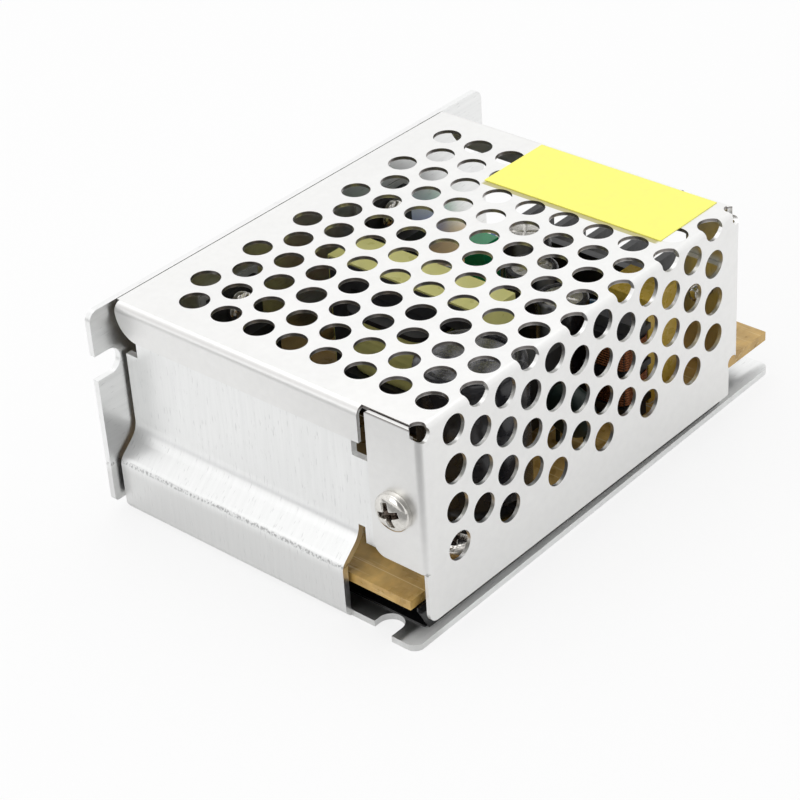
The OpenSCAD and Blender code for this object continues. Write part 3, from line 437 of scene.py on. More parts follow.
def phenolic_board():
    """Paper laminate under resin: cloudy brown, pale fibres, scratches, and painted shade in one
    dark patch and on the whole underside.
    """
    material, tree, shader = new_material("phenolic_board", (0.42, 0.25, 0.07), 0.0, 0.3)
    clouds = place_group(tree, grain, Scale=350.0, Detail=6.0, Depth=0.000005)
    fibres = place_group(tree, streaks, Scale=1500.0, Depth=0.00001, Stretch=(0.12, 1.0, 1.0))
    wear = place_group(tree, streaks, Scale=2300.0, Depth=0.0, Low=0.6, High=0.68,
                       Stretch=(1.0, 0.05, 1.0))
    place = axes(tree)
    near_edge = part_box("circuit_board")[0][0]
    scored = band(tree, place["X"], near_edge + 0.003, 0.0001)
    marks = calculate(tree, "MAXIMUM", scored, times(tree, wear["Mask"], 0.7))
    # Painted shade: a round dark patch on the board where the parts stand over it.
    board_shade = times(tree, band(tree, place["X"], -0.016, 0.02, 0.6),
                  band(tree, place["Y"], 0.005, 0.022, 0.6), 0.85)
    # Painted shade: faces turned downwards, the board's underside, go nearly black.
    under = smooth_mask(tree, axes(tree, "Normal")["Z"], -0.4, -0.8)
    tint = blend(tree, clouds["Mask"], (0.34, 0.19, 0.04), (0.78, 0.5, 0.15))
    tint = blend(tree, times(tree, fibres["Mask"], 0.35), tint, (0.6, 0.42, 0.16))
    tint = blend(tree, marks, tint, (0.78, 0.6, 0.3))
    tint = blend(tree, board_shade, tint, (0.05, 0.035, 0.02))
    tint = blend(tree, under, tint, (0.012, 0.016, 0.01))
    coat(tree, shader, clouds, tint, 0.22, 0.4)
    return material


board_resin = phenolic_board()
sticker_paper = moulded("sticker_paper", (0.98, 0.94, 0.17), 0.42, drift=0.05, scale=500.0)
black_film = moulded("black_film", (0.012, 0.012, 0.013), 0.15, drift=0.3)
black_moulding = moulded("black_moulding", (0.02, 0.02, 0.022), 0.4, drift=0.3, depth=0.00002)
black_sleeve = moulded("black_sleeve", (0.02, 0.02, 0.024), 0.22, drift=0.3)
yellow_tape = moulded("yellow_tape", (0.95, 0.92, 0.34), 0.3, drift=0.12, scale=250.0)
ferrite = moulded("ferrite", (0.05, 0.05, 0.055), 0.55, drift=0.4, depth=0.00003)
ochre_case = moulded("ochre_case", (0.72, 0.5, 0.08), 0.28, drift=0.12)
blue_coating = moulded("blue_coating", (0.01, 0.09, 0.2), 0.18, drift=0.3, scale=400.0)
green_coating = moulded("green_coating", (0.02, 0.42, 0.16), 0.2, drift=0.25, scale=400.0)
dark_coating = moulded("dark_coating", (0.02, 0.035, 0.03), 0.35, drift=0.3, scale=400.0)
blue_moulding = moulded("blue_moulding", (0.03, 0.12, 0.5), 0.35)
white_moulding = moulded("white_moulding", (0.85, 0.85, 0.8), 0.4, drift=0.06)
grey_pad = moulded("grey_pad", (0.5, 0.51, 0.5), 0.7, depth=0.00003)
grey_body = moulded("grey_body", (0.3, 0.34, 0.38), 0.45)
epoxy = moulded("epoxy_black", (0.02, 0.02, 0.02), 0.5, drift=0.3, depth=0.00002)


def clear_part(name, color, roughness):
    """Glass or a clear lens: light goes through it and takes its colour."""
    material, tree, shader = new_material(name, color, 0.0, roughness,
                                          Transmission_Weight=0.85, IOR=1.49)
    haze = place_group(tree, grain, Scale=600.0, Depth=0.000004)
    vary_gloss(tree, shader, haze["Mask"], roughness, roughness + 0.1)
    return material


green_lens = clear_part("green_lens", (0.1, 0.7, 0.25), 0.12)
fuse_glass = clear_part("fuse_glass", (0.85, 0.9, 0.88), 0.05)
print("plastics ready, materials:", len(bpy.data.materials))

# %% [markdown]
# ## Giving each solid its finish
# A CAD solid keeps its shape and place, and only its material slot is filled. The table
# below goes finish by finish, and names the parts of the supply that have it.

# %% Finishes of the CAD nodes
PARTS = [
    (sheet_metal, "chassis"), (cover_metal, "cover"), (sticker_paper, "label"),
    (board_resin, "circuit_board"), (black_film, "insulating_sheet"),
    (nickel, "cover_screws board_screws transistor_screws"),
    (tinned, "board_standoffs terminal_plates"),
    (black_moulding, "terminal_block transformer_bobbin line_filter_winding"),
    (blue_moulding, "trimmer_body"), (white_moulding, "trimmer_rotor"), (green_lens, "led"),
    (ferrite, "transformer_core line_filter_core"),
    (yellow_tape, "transformer_tape transformer_winding"),
    (black_sleeve, "bulk_capacitor output_capacitor_1 output_capacitor_2"),
    (black_sleeve, "output_capacitor_3 auxiliary_capacitor"),
    (ochre_case, "x_capacitor"), (blue_coating, "y_capacitor"), (dark_coating, "thermistor"),
    (green_coating, "film_capacitor output_choke_core"), (copper, "output_choke_winding"),
    (epoxy, "bridge_rectifier switching_transistor output_rectifier"),
    (epoxy, "optocoupler controller_ic diodes"),
    (grey_pad, "thermal_pads"), (grey_body, "snubber_resistor"), (fuse_glass, "fuse")]
WAYS = range(1, 6)
finish_of = {name: finish for finish, names in PARTS for name in names.split()}
for way in WAYS:
    finish_of[f"terminal_clamp_{way}"] = tinned
    finish_of[f"terminal_screw_{way}"] = nickel

for name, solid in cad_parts.items():
    solid.data.materials.clear()
    solid.data.materials.append(finish_of[name])
print("nodes given a finish:", len(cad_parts))

# %% [markdown]
# ## Surfaces from arrays
# Every finer piece is a grid of points that numpy works out in one go. One function turns a
# grid into quads, and one puts them into a mesh, joins the points that coincide at seams and
# poles, and turns the faces outwards. A list of grids can become one object. Round parts are
# a profile carried round an axis.

# %% Grids and meshes
UP = (0, 0, 1)


def grid_quads(rows, columns, first, close_rows, close_columns):
    """Quads of a rows x columns grid: (i, j), (i, j+1), (i+1, j+1), (i+1, j)."""
    i = np.arange(rows if close_rows else rows - 1)
    j = np.arange(columns if close_columns else columns - 1)
    i, j = np.meshgrid(i, j, indexing="ij")
    next_i = (i + 1) % rows
    next_j = (j + 1) % columns
    corners = [i * columns + j, i * columns + next_j, next_i * columns + next_j,
               next_i * columns + j]
    return np.stack(corners, axis=-1).reshape(-1, 4) + first


def make_piece(name, grids, material, body="case", smooth=True):
    """An object of several grids: each is (points rows x columns x 3, close_rows, close_columns).
    Optional fourth entry: UV values for the same grid, kept as the piece's UV map."""
    points = []
    quads = []
    marks = []
    count = 0
    for surface, close_rows, close_columns, *uv in grids:
        rows, columns = surface.shape[:2]
        quads.append(grid_quads(rows, columns, count, close_rows, close_columns))
        points.append(surface.reshape(-1, 3))
        marks.append(uv[0].reshape(-1, 2) if uv else np.zeros((rows * columns, 2)))
        count += rows * columns
    quads = np.concatenate(quads)
    mesh = bpy.data.meshes.new(name)
    mesh.from_pydata(np.concatenate(points).tolist(), [], quads.tolist())
    layer = mesh.uv_layers.new(name="UVMap")
    corner_marks = np.concatenate(marks)[quads.ravel()]
    layer.data.foreach_set("uv", corner_marks.ravel().astype(np.float32))
    shape = bmesh.new()
    shape.from_mesh(mesh)
    bmesh.ops.remove_doubles(shape, verts=shape.verts, dist=0.000001)
    bmesh.ops.dissolve_degenerate(shape, edges=shape.edges, dist=0.0000005)
    bmesh.ops.recalc_face_normals(shape, faces=shape.faces)
    shape.to_mesh(mesh)
    shape.free()
    mesh.polygons.foreach_set("use_smooth", [smooth] * len(mesh.polygons))
    mesh.materials.append(material)
    piece = new_object(name, mesh)
    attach(piece, body)
    return piece


def smooth_step(value):
    """0 below 0, 1 above 1, and 3t^2 - 2t^3 between."""
    t = np.clip(value, 0.0, 1.0)
    return t * t * (3.0 - 2.0 * t)


def full_turn(sides):
    """Angles of the sides of a closed ring."""
    return np.linspace(0, 2 * np.pi, sides, endpoint=False)


def revolved(profile, sides=72):
    """Grid (profile point, angle): x = r cos(a), y = r sin(a), z from the profile."""
    profile = np.array(profile)
    angle = full_turn(sides)
    r = profile[:, :1]
    z = np.repeat(profile[:, 1:], sides, axis=1)
    return np.stack([r * np.cos(angle), r * np.sin(angle), z], axis=-1)


def arc(center, radius, start, stop, count):
    """Points of an arc: centre + radius (cos t, sin t), t in degrees from start to stop."""
    t = np.radians(np.linspace(start, stop, count))
    return np.stack([center[0] + radius * np.cos(t), center[1] + radius * np.sin(t)], axis=1)


def turned(surface, axis, twist, place):
    """The surface with its +z turned to the axis, spun by twist degrees, and moved there."""
    spin = np.array(Matrix.Rotation(np.radians(twist), 3, "Z"))
    lean = np.array(Vector(UP).rotation_difference(Vector(axis)).to_matrix())
    return surface @ spin.T @ lean.T + np.array(place)


print("surface helpers ready")

# %% [markdown]
# ## Screws
# A pan head is a low dome with a cross pressed into it, which has sloping arms, soft edges
# and a dimple in the middle. Here the head is a disc of radius and angle: its height is the
# dome less the depth of the cross. Below it the same grid goes on as a thread, whose radius
# rises and falls along a helix.

# %% A screw as one surface
def screw_surface(radius, height, thread, length, pitch=0.0005, sides=64, rings=30):
    """Head: z = edge + (height - edge) sqrt(1 - (r/R)^2) - depth of the cross at (x, y).
    Thread: r = root + (crest - root) x ridge of (z/pitch + angle/2pi). Head up, z = 0 under it.
    Also gives UV marks, whose v is the depth of the cross from 0 to 1."""
    angle = full_turn(sides)
    edge = height * 0.42
    deepest = height * 0.72
    share = np.linspace(0, 1, rings) ** 0.85
    r, a = np.meshgrid(share * radius, angle, indexing="ij")
    x = r * np.cos(a)
    y = r * np.sin(a)
    dome = edge + (height - edge) * np.sqrt(np.clip(1 - (r / radius) ** 2, 0, 1))
    arm = radius * 0.66
    half = radius * 0.16
    soft = radius * 0.06
    along_x = smooth_step((half - np.abs(y)) / soft + 0.5) * smooth_step((arm - np.abs(x)) / soft)
    along_y = smooth_step((half - np.abs(x)) / soft + 0.5) * smooth_step((arm - np.abs(y)) / soft)
    slope = 1 - 0.5 * np.clip(r / arm, 0, 1)
    dimple = smooth_step((radius * 0.3 - r) / (radius * 0.1))
    depth = deepest * slope * np.maximum(np.maximum(along_x, along_y), 0.8 * dimple)
    head = np.stack([x, y, dome - depth], axis=-1)
    under = [(radius, edge * 0.35), (radius * 0.985, edge * 0.12), (radius * 0.95, 0.0),
             (thread, 0.0)]
    steps = int(length / pitch * 5)
    z, a = np.meshgrid(np.linspace(0, -length, steps), angle, indexing="ij")
    phase = (z / pitch + a / (2 * np.pi)) % 1.0
    ridge = 1 - np.abs(2 * phase - 1)
    fade = np.clip((length + z) / (pitch * 1.5), 0, 1)
    spoke = thread * (0.84 + 0.14 * ridge) * (0.7 + 0.3 * fade)
    shank = np.stack([spoke * np.cos(a), spoke * np.sin(a), z], axis=-1)
    tip = revolved([(0.0, -length)], sides)
    surface = np.concatenate([head, revolved(under, sides), shank, tip])
    marks = np.zeros(surface.shape[:2] + (2,))
    marks[:rings, :, 1] = depth / deepest
    return surface, marks


def screw_at(size, axis, twist, place, **grid):
    """A screw (radius, height, thread, length) as a grid turned to the axis at the place."""
    surface, marks = screw_surface(*size, **grid)
    return turned(surface, axis, twist, place), False, True, marks


# %% Cover screws
HEAD_H = 0.0019
THREAD_R = 0.00125
COVER_LENGTH = 0.005
middle, size, low = node_frame("cover_screws")
head_r = size[1] / 2
size_of = (head_r, HEAD_H, THREAD_R, COVER_LENGTH)
ends = [((-1, 0, 0), low[0] + HEAD_H, 20), ((1, 0, 0), low[0] + size[0] - HEAD_H, 65)]
shapes = [screw_at(size_of, axis, twist, (x, middle[1], middle[2]), sides=144, rings=72)
          for axis, x, twist in ends]
cover_screw_pair = make_piece("cover_screw_pair", shapes, nickel)
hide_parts("cover_screws")
print("cover screws, mm across:", round(2 * head_r / MM, 2))

# %% Terminal screws, one on each screw body
TERMINAL_HEAD_H = 0.0017
TERMINAL_THREAD_R = 0.00145
TERMINAL_LENGTH = 0.0044
for way in WAYS:
    middle, size, low = node_frame(f"terminal_screw_{way}")
    size_of = (size[0] / 2, TERMINAL_HEAD_H, TERMINAL_THREAD_R, TERMINAL_LENGTH)
    under_head = (middle[0], middle[1], low[2] + TERMINAL_LENGTH)
    shape = screw_at(size_of, UP, 15 + 40 * way, under_head, rings=34)
    screw = make_piece(f"terminal_head_{way}", [shape], nickel, f"screw_{way}")
    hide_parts(f"terminal_screw_{way}")
print("terminal screws:", len(WAYS))

# %% Screws of the board and of the power packages
BOARD_HEAD_R = 0.0028
BOARD_LENGTH = 0.0046
INNER_SHIFT = 0.0105
board_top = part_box("circuit_board")[1][2]
middle, size, low = node_frame("board_screws")
near_x, near_y = low[:2] + BOARD_HEAD_R
far_x, far_y = low[:2] + size[:2] - BOARD_HEAD_R
spots = [(near_x, near_y), (near_x, far_y), (far_x, near_y + INNER_SHIFT), (far_x, far_y)]
size_of = (BOARD_HEAD_R, HEAD_H, THREAD_R, BOARD_LENGTH)
shapes = [screw_at(size_of, UP, 25 + 50 * k, (x, y, board_top))
          for k, (x, y) in enumerate(spots)]
board_screw_set = make_piece("board_screw_set", shapes, nickel)
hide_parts("board_screws")

middle, size, low = node_frame("transistor_screws")
package_r = size[2] / 2
face_y = low[1] + HEAD_H
size_of = (package_r, HEAD_H, THREAD_R, size[1] - HEAD_H)
package_x = (low[0] + package_r, low[0] + size[0] - package_r)
shapes = [screw_at(size_of, (0, -1, 0), 40, (x, face_y, middle[2])) for x in package_x]
package_screw_pair = make_piece("package_screw_pair", shapes, nickel)
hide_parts("transistor_screws")
print("inner screws:", len(spots) + len(package_x))

# %% [markdown]
# ## Electrolytic capacitors
# Such a capacitor is an aluminium can in a shrunk sleeve. The sleeve folds over the top edge
# and leaves a bare disc, pressed with a cross so that it can vent. A pale stripe on the
# sleeve marks one lead. Can and sleeve are profiles carried round an axis, and the stripe
# follows the sleeve's own UV map.

# %% Sleeve and can
def vent_disc(radius, depth=0.00016, rings=26, sides=72):
    """Flat disc less the depth of a cross: smooth_step of the distance from each arm."""
    r, a = np.meshgrid(np.linspace(0, radius, rings), full_turn(sides), indexing="ij")
    x = r * np.cos(a)
    y = r * np.sin(a)
    arm = np.minimum(np.abs(x), np.abs(y))
    groove = smooth_step((0.00028 - arm) / 0.00018) * smooth_step((radius * 0.86 - r) / 0.0003)
    return np.stack([x, y, -depth * groove], axis=-1)


def capacitor_sleeve_material():
    """Dark shrink film. Where u of the UV map is near a half, a pale stripe with a dark bar."""
    material, tree, shader = new_material("shrink_sleeve", (0.02, 0.02, 0.024), 0.0, 0.2)
    folds = place_group(tree, grain, Scale=450.0, Detail=3.0, Depth=0.00006)
    around = axes(tree, "UV")
    stripe = times(tree, band(tree, around["X"], 0.5, 0.07), 0.75)
    bar = times(tree, band(tree, around["X"], 0.5, 0.03), band(tree, around["Y"], 0.5, 0.18))
    tint = blend(tree, folds["Mask"], (0.014, 0.014, 0.017), (0.035, 0.035, 0.04))
    tint = blend(tree, stripe, tint, (0.35, 0.36, 0.38))
    tint = blend(tree, bar, tint, (0.03, 0.03, 0.035))
    coat(tree, shader, folds, tint, 0.16, 0.3)
    return material


shrink_sleeve = capacitor_sleeve_material()


def dress_capacitor(name, twist):
    """Sleeve and bare can for one capacitor node, from the node's own box."""
    middle, size, low = node_frame(name)
    stand = (middle[0], middle[1], low[2])
    radius = size[0] / 2
    height = size[2]
    edge = radius * 0.13
    foot = np.array([(radius * 0.8, 0.0002), (radius * 0.97, 0.0002), (radius, 0.0006),
                     (radius, 0.0016), (radius * 0.95, 0.0021), (radius, 0.0027)])
    shoulder = arc((radius - edge, height - edge), edge, 0, 90, 7)
    lip = arc((radius - edge * 1.5, height - edge * 0.35), edge * 0.35, 90, 200, 5)
    film = revolved(np.concatenate([foot, shoulder, lip]))
    rows, columns = film.shape[:2]
    turn = np.linspace(0, 1, columns, endpoint=False)
    rise = np.arange(rows) / rows
    uv = np.stack(np.broadcast_arrays(turn[None, :], rise[:, None]), axis=-1)
    film = turned(film, UP, twist, stand)
    sleeve = make_piece(name + "_sleeve", [(film, False, True, uv)], shrink_sleeve)
    disc_r = radius - edge * 1.6
    disc_z = height - edge * 0.45
    wall_z = height - 0.0015
    disc = turned(vent_disc(disc_r) + (0, 0, disc_z), UP, twist, stand)
    wall = turned(revolved([(disc_r, disc_z), (disc_r, wall_z)]), UP, twist, stand)
    # The bulk capacitor's top takes the darkened metal, a painted shade; the others stay bright.
    top_metal = dark_can if name == "bulk_capacitor" else aluminium_can
    top = make_piece(name + "_can", [(disc, False, True), (wall, False, True)], top_metal)
    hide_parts(name)
    return radius


cans = {"bulk_capacitor": -60, "output_capacitor_1": 70, "output_capacitor_2": 35,
        "output_capacitor_3": 10, "auxiliary_capacitor": 50}
for name, twist in cans.items():
    print(name, "radius, mm:", round(dress_capacitor(name, twist) / MM, 2))

# %% [markdown]
# ## Wound parts
# The transformer's winding is wrapped in yellow tape, so it shows as a barrel with the edge
# of each layer, slightly swollen at half height. The output choke is a ring with real turns
# of wire, and the line filter has two coils. Wire is a circle carried along a path, square
# to the path at each of its points.

# %% Barrel of the transformer
def rounded_loop(half_x, half_y, radius, count):
    """Points of a rectangle with round corners, evenly spaced along its edge."""
    path = []
    for sign_x, sign_y, start in ((1, 1, 0), (-1, 1, 90), (-1, -1, 180), (1, -1, 270)):
        center = (sign_x * (half_x - radius), sign_y * (half_y - radius))
        path.append(arc(center, radius, start, start + 90, 9))
    path = np.concatenate(path + [path[0][:1]])
    length = np.concatenate([[0], np.cumsum(np.linalg.norm(np.diff(path, axis=0), axis=1))])
    wanted = np.linspace(0, length[-1], count, endpoint=False)
    return np.stack([np.interp(wanted, length, path[:, k]) for k in (0, 1)], axis=1)


def level_loop(half_x, half_y, radius, height, count=120):
    """A rounded loop at a height, as one row of a grid."""
    return np.column_stack([rounded_loop(half_x, half_y, radius, count), [height] * count])


CORNER_R = 0.003
LEG_HALF = 0.0048
LEG_GAP = 0.0008
LEG_CORNER = 0.0004
middle, size, low = node_frame("transformer_winding")
half = size / 2
core_half = node_frame("transformer_core")[1][0] / 2
rise = np.linspace(0, 1, 40)
swell = 0.0004 * np.sin(np.pi * rise) ** 0.6 + 0.00005 * ((rise * 7) % 1.0 > 0.5)
outer = [level_loop(half[0] + grow, half[1] + grow, CORNER_R, size[2] * t - half[2])
         for grow, t in zip(swell, rise)]
inner = [level_loop(core_half + LEG_GAP, LEG_HALF, LEG_CORNER, z) for z in (half[2], -half[2])]
barrel = np.stack(outer + inner) + middle
tape_barrel = make_piece("tape_barrel", [(barrel, True, True)], yellow_tape)
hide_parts("transformer_winding")
print("barrel, mm:", np.round(size / MM, 1))

# %% Wire carried along a path
def wire_surface(path, radius, sides=8):
    """Circle round each point of the path, in the plane across it: p + r (cos a n + sin a b)."""
    forward = np.gradient(path, axis=0)
    forward /= np.linalg.norm(forward, axis=1, keepdims=True)
    hint = np.where(np.abs(forward[:, 2:]) > 0.9, [[1.0, 0, 0]], [[0, 0, 1.0]])
    side = np.cross(forward, hint)
    side /= np.linalg.norm(side, axis=1, keepdims=True)
    up = np.cross(side, forward)
    a = full_turn(sides)[None, :, None]
    return path[:, None] + radius * (np.cos(a) * side[:, None] + np.sin(a) * up[:, None])


# %% Output choke
ring_middle, ring_size, _ = node_frame("output_choke_core")
coil_size = node_frame("output_choke_winding")[1]
wire = (coil_size[2] - ring_size[2]) / 4
tube = ring_size[2] / 2
big = ring_size[0] / 2 - tube
section = rounded_loop(tube, tube, tube * 0.35, 28) + (big, 0)
powder_ring = revolved(section, 96) + ring_middle
choke_ring = make_piece("choke_ring", [(powder_ring, True, True)], green_coating)
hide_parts("output_choke_core")

TURNS = 20
POINTS_PER_TURN = 22
t = np.linspace(0, 1, TURNS * POINTS_PER_TURN)
sweep = np.radians(20 + 320 * t)
spin = 2 * np.pi * TURNS * t
reach = tube + wire * 0.95
flat = np.maximum(np.abs(np.cos(spin)), np.abs(np.sin(spin))) ** 0.6
away = big + reach * np.cos(spin) / flat
coil = np.stack([away * np.cos(sweep), away * np.sin(sweep), reach * np.sin(spin) / flat], axis=1)
wound = wire_surface(coil + ring_middle, wire * 0.8, sides=7)
choke_wire = make_piece("choke_wire", [(wound, False, True)], copper)
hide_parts("output_choke_winding")
print("choke turns:", TURNS, "wire, mm:", round(1.6 * wire / MM, 2))

# %% Coils of the line filter
middle, size, low = node_frame("line_filter_winding")
gauge = 0.00022
inset = 0.0004
end_gap = 0.0011
middle_gap = 0.0006
height = size[2] / 2 - 2 * end_gap
turns = int(height / (2 * gauge))
once = rounded_loop(size[0] / 2 - inset + gauge, size[1] / 2 - inset + gauge, 0.0012, 40)
path = np.tile(once, (turns, 1))
path = np.column_stack([path, np.linspace(gauge, height - gauge, len(path))])
coils = [(wire_surface(path + (middle[0], middle[1], z), gauge, sides=6), False, True)
         for z in (low[2] + end_gap, middle[2] + middle_gap)]
filter_coils = make_piece("filter_coils", coils, copper)
print("filter coils:", len(coils), "of", turns, "turns")

# %% [markdown]
# ## Fuse, resistor and diodes
# Small parts with wire ends are turned shapes lying on their side. The fuse is a glass tube
# with a metal cap on each end, the resistor a body that is thicker at its ends, with coloured
# rings, and each diode a black body with one pale ring. The rings follow the length along
# the body, which is v of the UV map.

# %% Turned parts lying across the case
LEAD_R = 0.00035


def lying(profile, center, sides=40):
    """Profile (r, y) carried round the y axis through the centre, with y as UV v from 0 to 1."""
    profile = np.array(profile)
    surface = revolved(profile, sides)
    surface = np.stack([surface[..., 0], surface[..., 2], -surface[..., 1]], axis=-1)
    span = profile[:, 1]
    share = (span - span.min()) / (span.max() - span.min())
    uv = np.stack(np.broadcast_arrays(np.zeros((1, sides)), share[:, None]), axis=-1)
    return surface + np.array(center), False, True, uv


def bent_leads(center, half_span, foot_z):
    """Two wires from the board up, over to the body, with round bends."""
    bend = 0.0008
    corner = arc((-half_span + bend, center[2] - bend), bend, 180, 90, 7)
    one_side = np.concatenate([[(-half_span, foot_z)], corner, [(-half_span * 0.4, center[2])]])
    path = np.stack([np.zeros(len(one_side)), one_side[:, 0], one_side[:, 1]], axis=1)
    shift = np.array((center[0], center[1], 0))
    return [(wire_surface(p + shift, LEAD_R), False, True) for p in (path, path * (1, -1, 1))]


def ringed(name, color, rings):
    """Plastic whose colour changes in rings: rings is [(middle, half width, colour)]."""
    roughness = 0.35
    material, tree, shader = new_material(name, color, 0.0, roughness)
    texture = place_group(tree, grain, Scale=900.0, Detail=3.0, Depth=0.00001)
    share = axes(tree, "UV")["Y"]
    tint = blend(tree, texture["Mask"], tuple(0.85 * c for c in color), color)
    for middle, half_width, ring_color in rings:
        tint = blend(tree, band(tree, share, middle, half_width), tint, ring_color)
    coat(tree, shader, texture, tint, roughness, roughness * 1.3)
    return material


def axial_frame(name):
    """Body centre and radius, half distance of the leads, and foot height, from the box."""
    middle, size, low = node_frame(name)
    radius = size[0] / 2
    center = (middle[0], middle[1], low[2] + size[2] - radius)
    return center, radius, size[1] / 2 - LEAD_R, low[2]


center, radius, half_span, foot_z = axial_frame("fuse")
half = half_span - 0.0012
tube = [(0, -half), (radius * 0.93, -half), (radius * 0.93, half), (0, half)]
fuse_tube = make_piece("fuse_tube", [lying(tube, center)], fuse_glass)
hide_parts("fuse")
caps = []
for sign in (-1, 1):
    cap = [(0, half + 0.0002), (radius * 0.9, half + 0.0002), (radius, half - 0.0002),
           (radius, half - 0.002), (radius * 0.94, half - 0.002)]
    caps.append(lying(np.array(cap) * (1, sign), center))
caps.extend(bent_leads(center, half_span, foot_z))
fuse_caps = make_piece("fuse_caps", caps, tinned)

center, radius, half_span, foot_z = axial_frame("snubber_resistor")
half = half_span - 0.0014
t = np.linspace(-1, 1, 25)
waist = radius * (0.82 + 0.18 * smooth_step((np.abs(t) - 0.55) / 0.25))
waist *= np.sqrt(np.clip(1 - smooth_step((np.abs(t) - 0.86) / 0.14) * 0.9, 0, 1))
body = np.concatenate([[(0, -half)], np.stack([waist, t * half], axis=1), [(0, half)]])
ring_colors = [(0.2, 0.03, (0.5, 0.3, 0.03)), (0.38, 0.025, (0.02, 0.02, 0.02)),
               (0.52, 0.025, (0.45, 0.02, 0.02)), (0.8, 0.03, (0.6, 0.45, 0.1))]
resistor_paint = ringed("resistor_paint", (0.2, 0.33, 0.42), ring_colors)
resistor_body = make_piece("resistor_body", [lying(body, center)], resistor_paint)
resistor_leads = make_piece("resistor_leads", bent_leads(center, half_span, foot_z), tinned)
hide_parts("snubber_resistor")

DIODES = 3
DIODE_HALF = 0.0032
DIODE_GAP = 0.0004
middle, size, low = node_frame("diodes")
radius = 0.001
profile = [(0, -0.0016), (radius * 0.9, -0.0016), (radius, -0.0014), (radius, 0.0014),
           (radius * 0.9, 0.0016), (0, 0.0016)]
spacing = (size[1] - 2 * DIODE_HALF) / (DIODES - 1)
bodies = []
leads = []
for k in range(DIODES):
    center = (middle[0], low[1] + DIODE_HALF + k * spacing, low[2] + DIODE_GAP + radius)
    bodies.append(lying(profile, center))
    leads.extend(bent_leads(center, DIODE_HALF - LEAD_R, low[2]))
diode_case = ringed("diode_case", (0.02, 0.02, 0.022), [(0.8, 0.1, (0.5, 0.5, 0.5))])
diode_bodies = make_piece("diode_bodies", bodies, diode_case)
diode_leads = make_piece("diode_leads", leads, tinned)
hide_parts("diodes")
print("axial parts: fuse, resistor and", len(bodies), "diodes")

# %% [markdown]
# ## Print and solder on the board
# A board carries a pale print that shows where each part goes, and a shiny cone of solder
# round each lead. The print is a flat ribbon along an outline, 0.15 mm wide. A solder cone
# is the curve r = r0 + 0.6 (1 - h)^2 in millimetres, turned round the lead.

# %% Outlines and solder cones
def ribbon(path, width, height):
    """Flat band along a closed path in the plane z = height: path +- width/2 across it."""
    forward = np.roll(path, -1, axis=0) - np.roll(path, 1, axis=0)
    forward /= np.linalg.norm(forward, axis=1, keepdims=True)
    across = np.stack([-forward[:, 1], forward[:, 0]], axis=1) * width / 2
    edges = np.stack([path - across, path + across], axis=1)
    z = np.full(edges.shape[:2] + (1,), height)
    return np.concatenate([edges, z], axis=2), True, False


CLEARANCE = 0.0003
PRINT_WIDTH = 0.00015
PRINT_RISE = 0.00002
outlined = ["bulk_capacitor", "transformer_bobbin", "x_capacitor", "line_filter_winding",
            "output_capacitor_1", "output_capacitor_2", "output_capacitor_3",
            "auxiliary_capacitor", "controller_ic", "optocoupler", "fuse", "terminal_block",
            "film_capacitor", "y_capacitor", "output_choke_winding", "bridge_rectifier"]
prints = []
for name in outlined:
    middle, size, low = node_frame(name)
    half_x, half_y = size[:2] / 2 + CLEARANCE
    round_part = "capacitor_" in name or name in ("bulk_capacitor", "output_choke_winding")
    radius = min(half_x, half_y) * (0.98 if round_part else 0.12)
    loop = rounded_loop(half_x, half_y, radius, 72) + middle[:2]
    prints.append(ribbon(loop, PRINT_WIDTH, board_top + PRINT_RISE))
print_white = moulded("board_print", (0.75, 0.72, 0.6), 0.5, drift=0.25, scale=1500.0)
board_print = make_piece("board_print", prints, print_white, smooth=False)

t = np.linspace(0, 1, 9)
cone = revolved(np.stack([0.00036 + 0.0006 * (1 - t) ** 2, 0.0007 * t], axis=1), 20)
cones = []
for name in ("fuse", "snubber_resistor"):
    center, radius, half_span, foot_z = axial_frame(name)
    for sign in (-1, 1):
        spot = (center[0], center[1] + sign * half_span, board_top)
        cones.append((cone + spot, False, True))
solder = make_piece("solder_cones", cones, tinned)
print("outlines:", len(prints), "solder cones:", len(cones))

# %% [markdown]
# ## Studio
# A light tent is nearly white all round, so metal looks pale with soft grey shapes in it.
# The world is that tent: a little brighter above than at the horizon, with one weak dark
# opening on the camera's side that curved metal mirrors. One large lamp overhead and a
# weaker one from the left give direction. The floor is white paper that keeps the soft
# shadow, and in reflections it ends just in front of the case.

# %% World, lamps and floor
TO_CAMERA = (-0.6126, -0.5733, 0.5441)
DARK_SIDE = 0.3
PAPER_SIDE = (-0.8725, -0.4886, 0.0)
PAPER_ENDS = (0.047, 0.09)
PAPER_DARK = 0.4
FLOOR_HALF = 1.5
FLOOR_Z = -0.00002


def along(tree, kind, direction):
    """How far a texture coordinate reaches along a fixed direction."""
    product = node(tree, "ShaderNodeVectorMath", operation="DOT_PRODUCT")
    product.inputs[1].default_value = direction
    link(tree, coordinate(tree, kind), product.inputs[0])
    return product.outputs["Value"]


def not_seen(tree, value):
    """The value for light and reflections, and 1 where the camera looks straight at it."""
    path = node(tree, "ShaderNodeLightPath")
    return blend(tree, path.outputs["Is Camera Ray"], value, 1.0)


def tent_world():
    """White by height, less a dark opening on the camera's side: from 1 down to DARK_SIDE."""
    world = bpy.data.worlds.new("light_tent")
    world.use_nodes = True
    tree = world.node_tree
    background = tree.nodes["Background"]
    background.inputs["Color"].default_value = (1.0, 1.0, 1.0, 1.0)
    rise = remap(tree, axes(tree, "Generated")["Z"], (-0.1, 0.9), (0.95, 1.02))
    opening = smooth_mask(tree, along(tree, "Generated", TO_CAMERA), 0.7, 0.95)
    light = times(tree, rise, remap(tree, opening, wanted=(1.0, DARK_SIDE)))
    link(tree, not_seen(tree, light), background.inputs["Strength"])
    scene.world = world


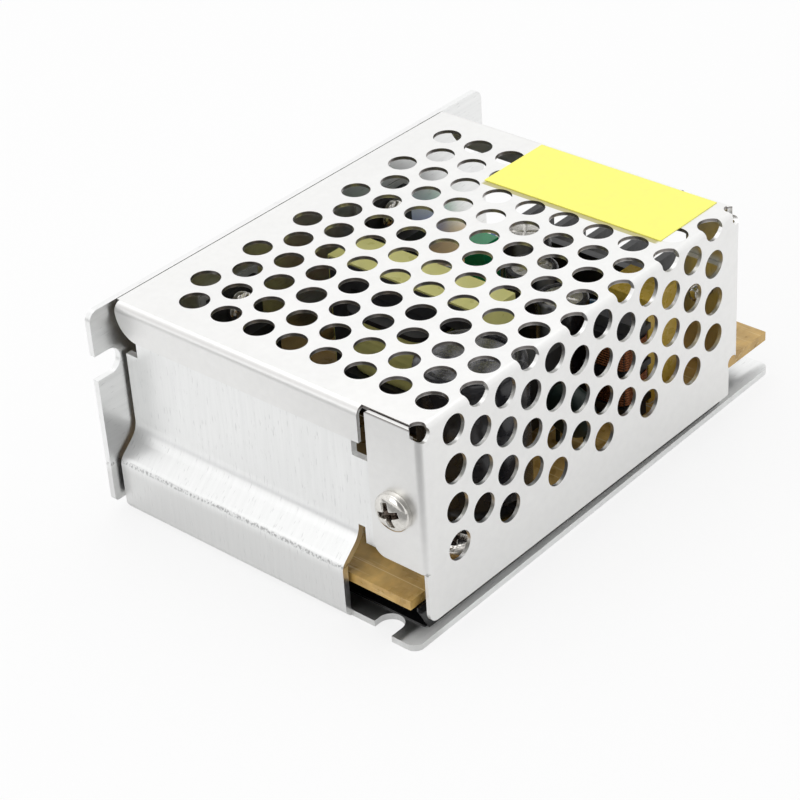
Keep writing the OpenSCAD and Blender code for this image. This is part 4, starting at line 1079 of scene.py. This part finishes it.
def soft_lamp(name, position, target, size, watts):
    """A square lamp that faces a point."""
    lamp = bpy.data.lights.new(name, "AREA")
    lamp.shape = "SQUARE"
    lamp.size = size
    lamp.energy = watts
    holder = new_object(name, lamp)
    direction = Vector(target) - Vector(position)
    holder.location = position
    holder.rotation_euler = direction.to_track_quat("-Z", "Y").to_euler()


def pale_floor():
    """White paper under the case. Reflections see it glow, up to its end on the near side."""
    mesh = bpy.data.meshes.new("floor")
    corners = [(x * FLOOR_HALF, y * FLOOR_HALF, FLOOR_Z)
               for x, y in ((-1, -1), (1, -1), (1, 1), (-1, 1))]
    mesh.from_pydata(corners, [], [(0, 1, 2, 3)])
    floor = new_object("floor", mesh)
    material, tree, shader = new_material("pale_floor", (0.86, 0.86, 0.86), 0.0, 0.6)
    ends = smooth_mask(tree, along(tree, "Object", PAPER_SIDE), *PAPER_ENDS)
    glow = node(tree, "ShaderNodeEmission")
    level = remap(tree, ends, wanted=(1.0, PAPER_DARK))
    link(tree, not_seen(tree, level), glow.inputs["Strength"])
    ray = node(tree, "ShaderNodeLightPath").outputs
    mirrored = calculate(tree, "MAXIMUM", ray["Is Glossy Ray"], ray["Is Transmission Ray"])
    reflected = times(tree, mirrored, remap(tree, ends, wanted=(0.3, 1.0)))
    share = calculate(tree, "MAXIMUM", reflected, times(tree, ray["Is Camera Ray"], 0.8))
    mixed = node(tree, "ShaderNodeMixShader")
    link(tree, share, mixed.inputs["Fac"])
    link(tree, shader.outputs["BSDF"], mixed.inputs[1])
    link(tree, glow.outputs["Emission"], mixed.inputs[2])
    link(tree, mixed.outputs["Shader"], tree.nodes["Material Output"].inputs["Surface"])
    mesh.materials.append(material)
    floor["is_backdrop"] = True


tent_world()
soft_lamp("overhead", (0.05, 0.1, 0.6), (0, 0, 0.01), size=0.5, watts=0.7)
soft_lamp("left", (-0.6, 0.1, 0.35), (0, 0, 0.02), size=0.4, watts=0.5)
pale_floor()
scene.view_settings.view_transform = "Standard"
print("lamps:", len(bpy.data.lights))

# %% [markdown]
# The last step measures the dressed model's box and writes how far its upper corner lies
# beyond that of the CAD model's box. The dressed model has to stay inside the CAD model's
# box.

# %% Write the sizes and finish
low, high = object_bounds()
print("grown by, mm:", np.round((np.array(high) - np.array(cad_high)) / MM, 3))
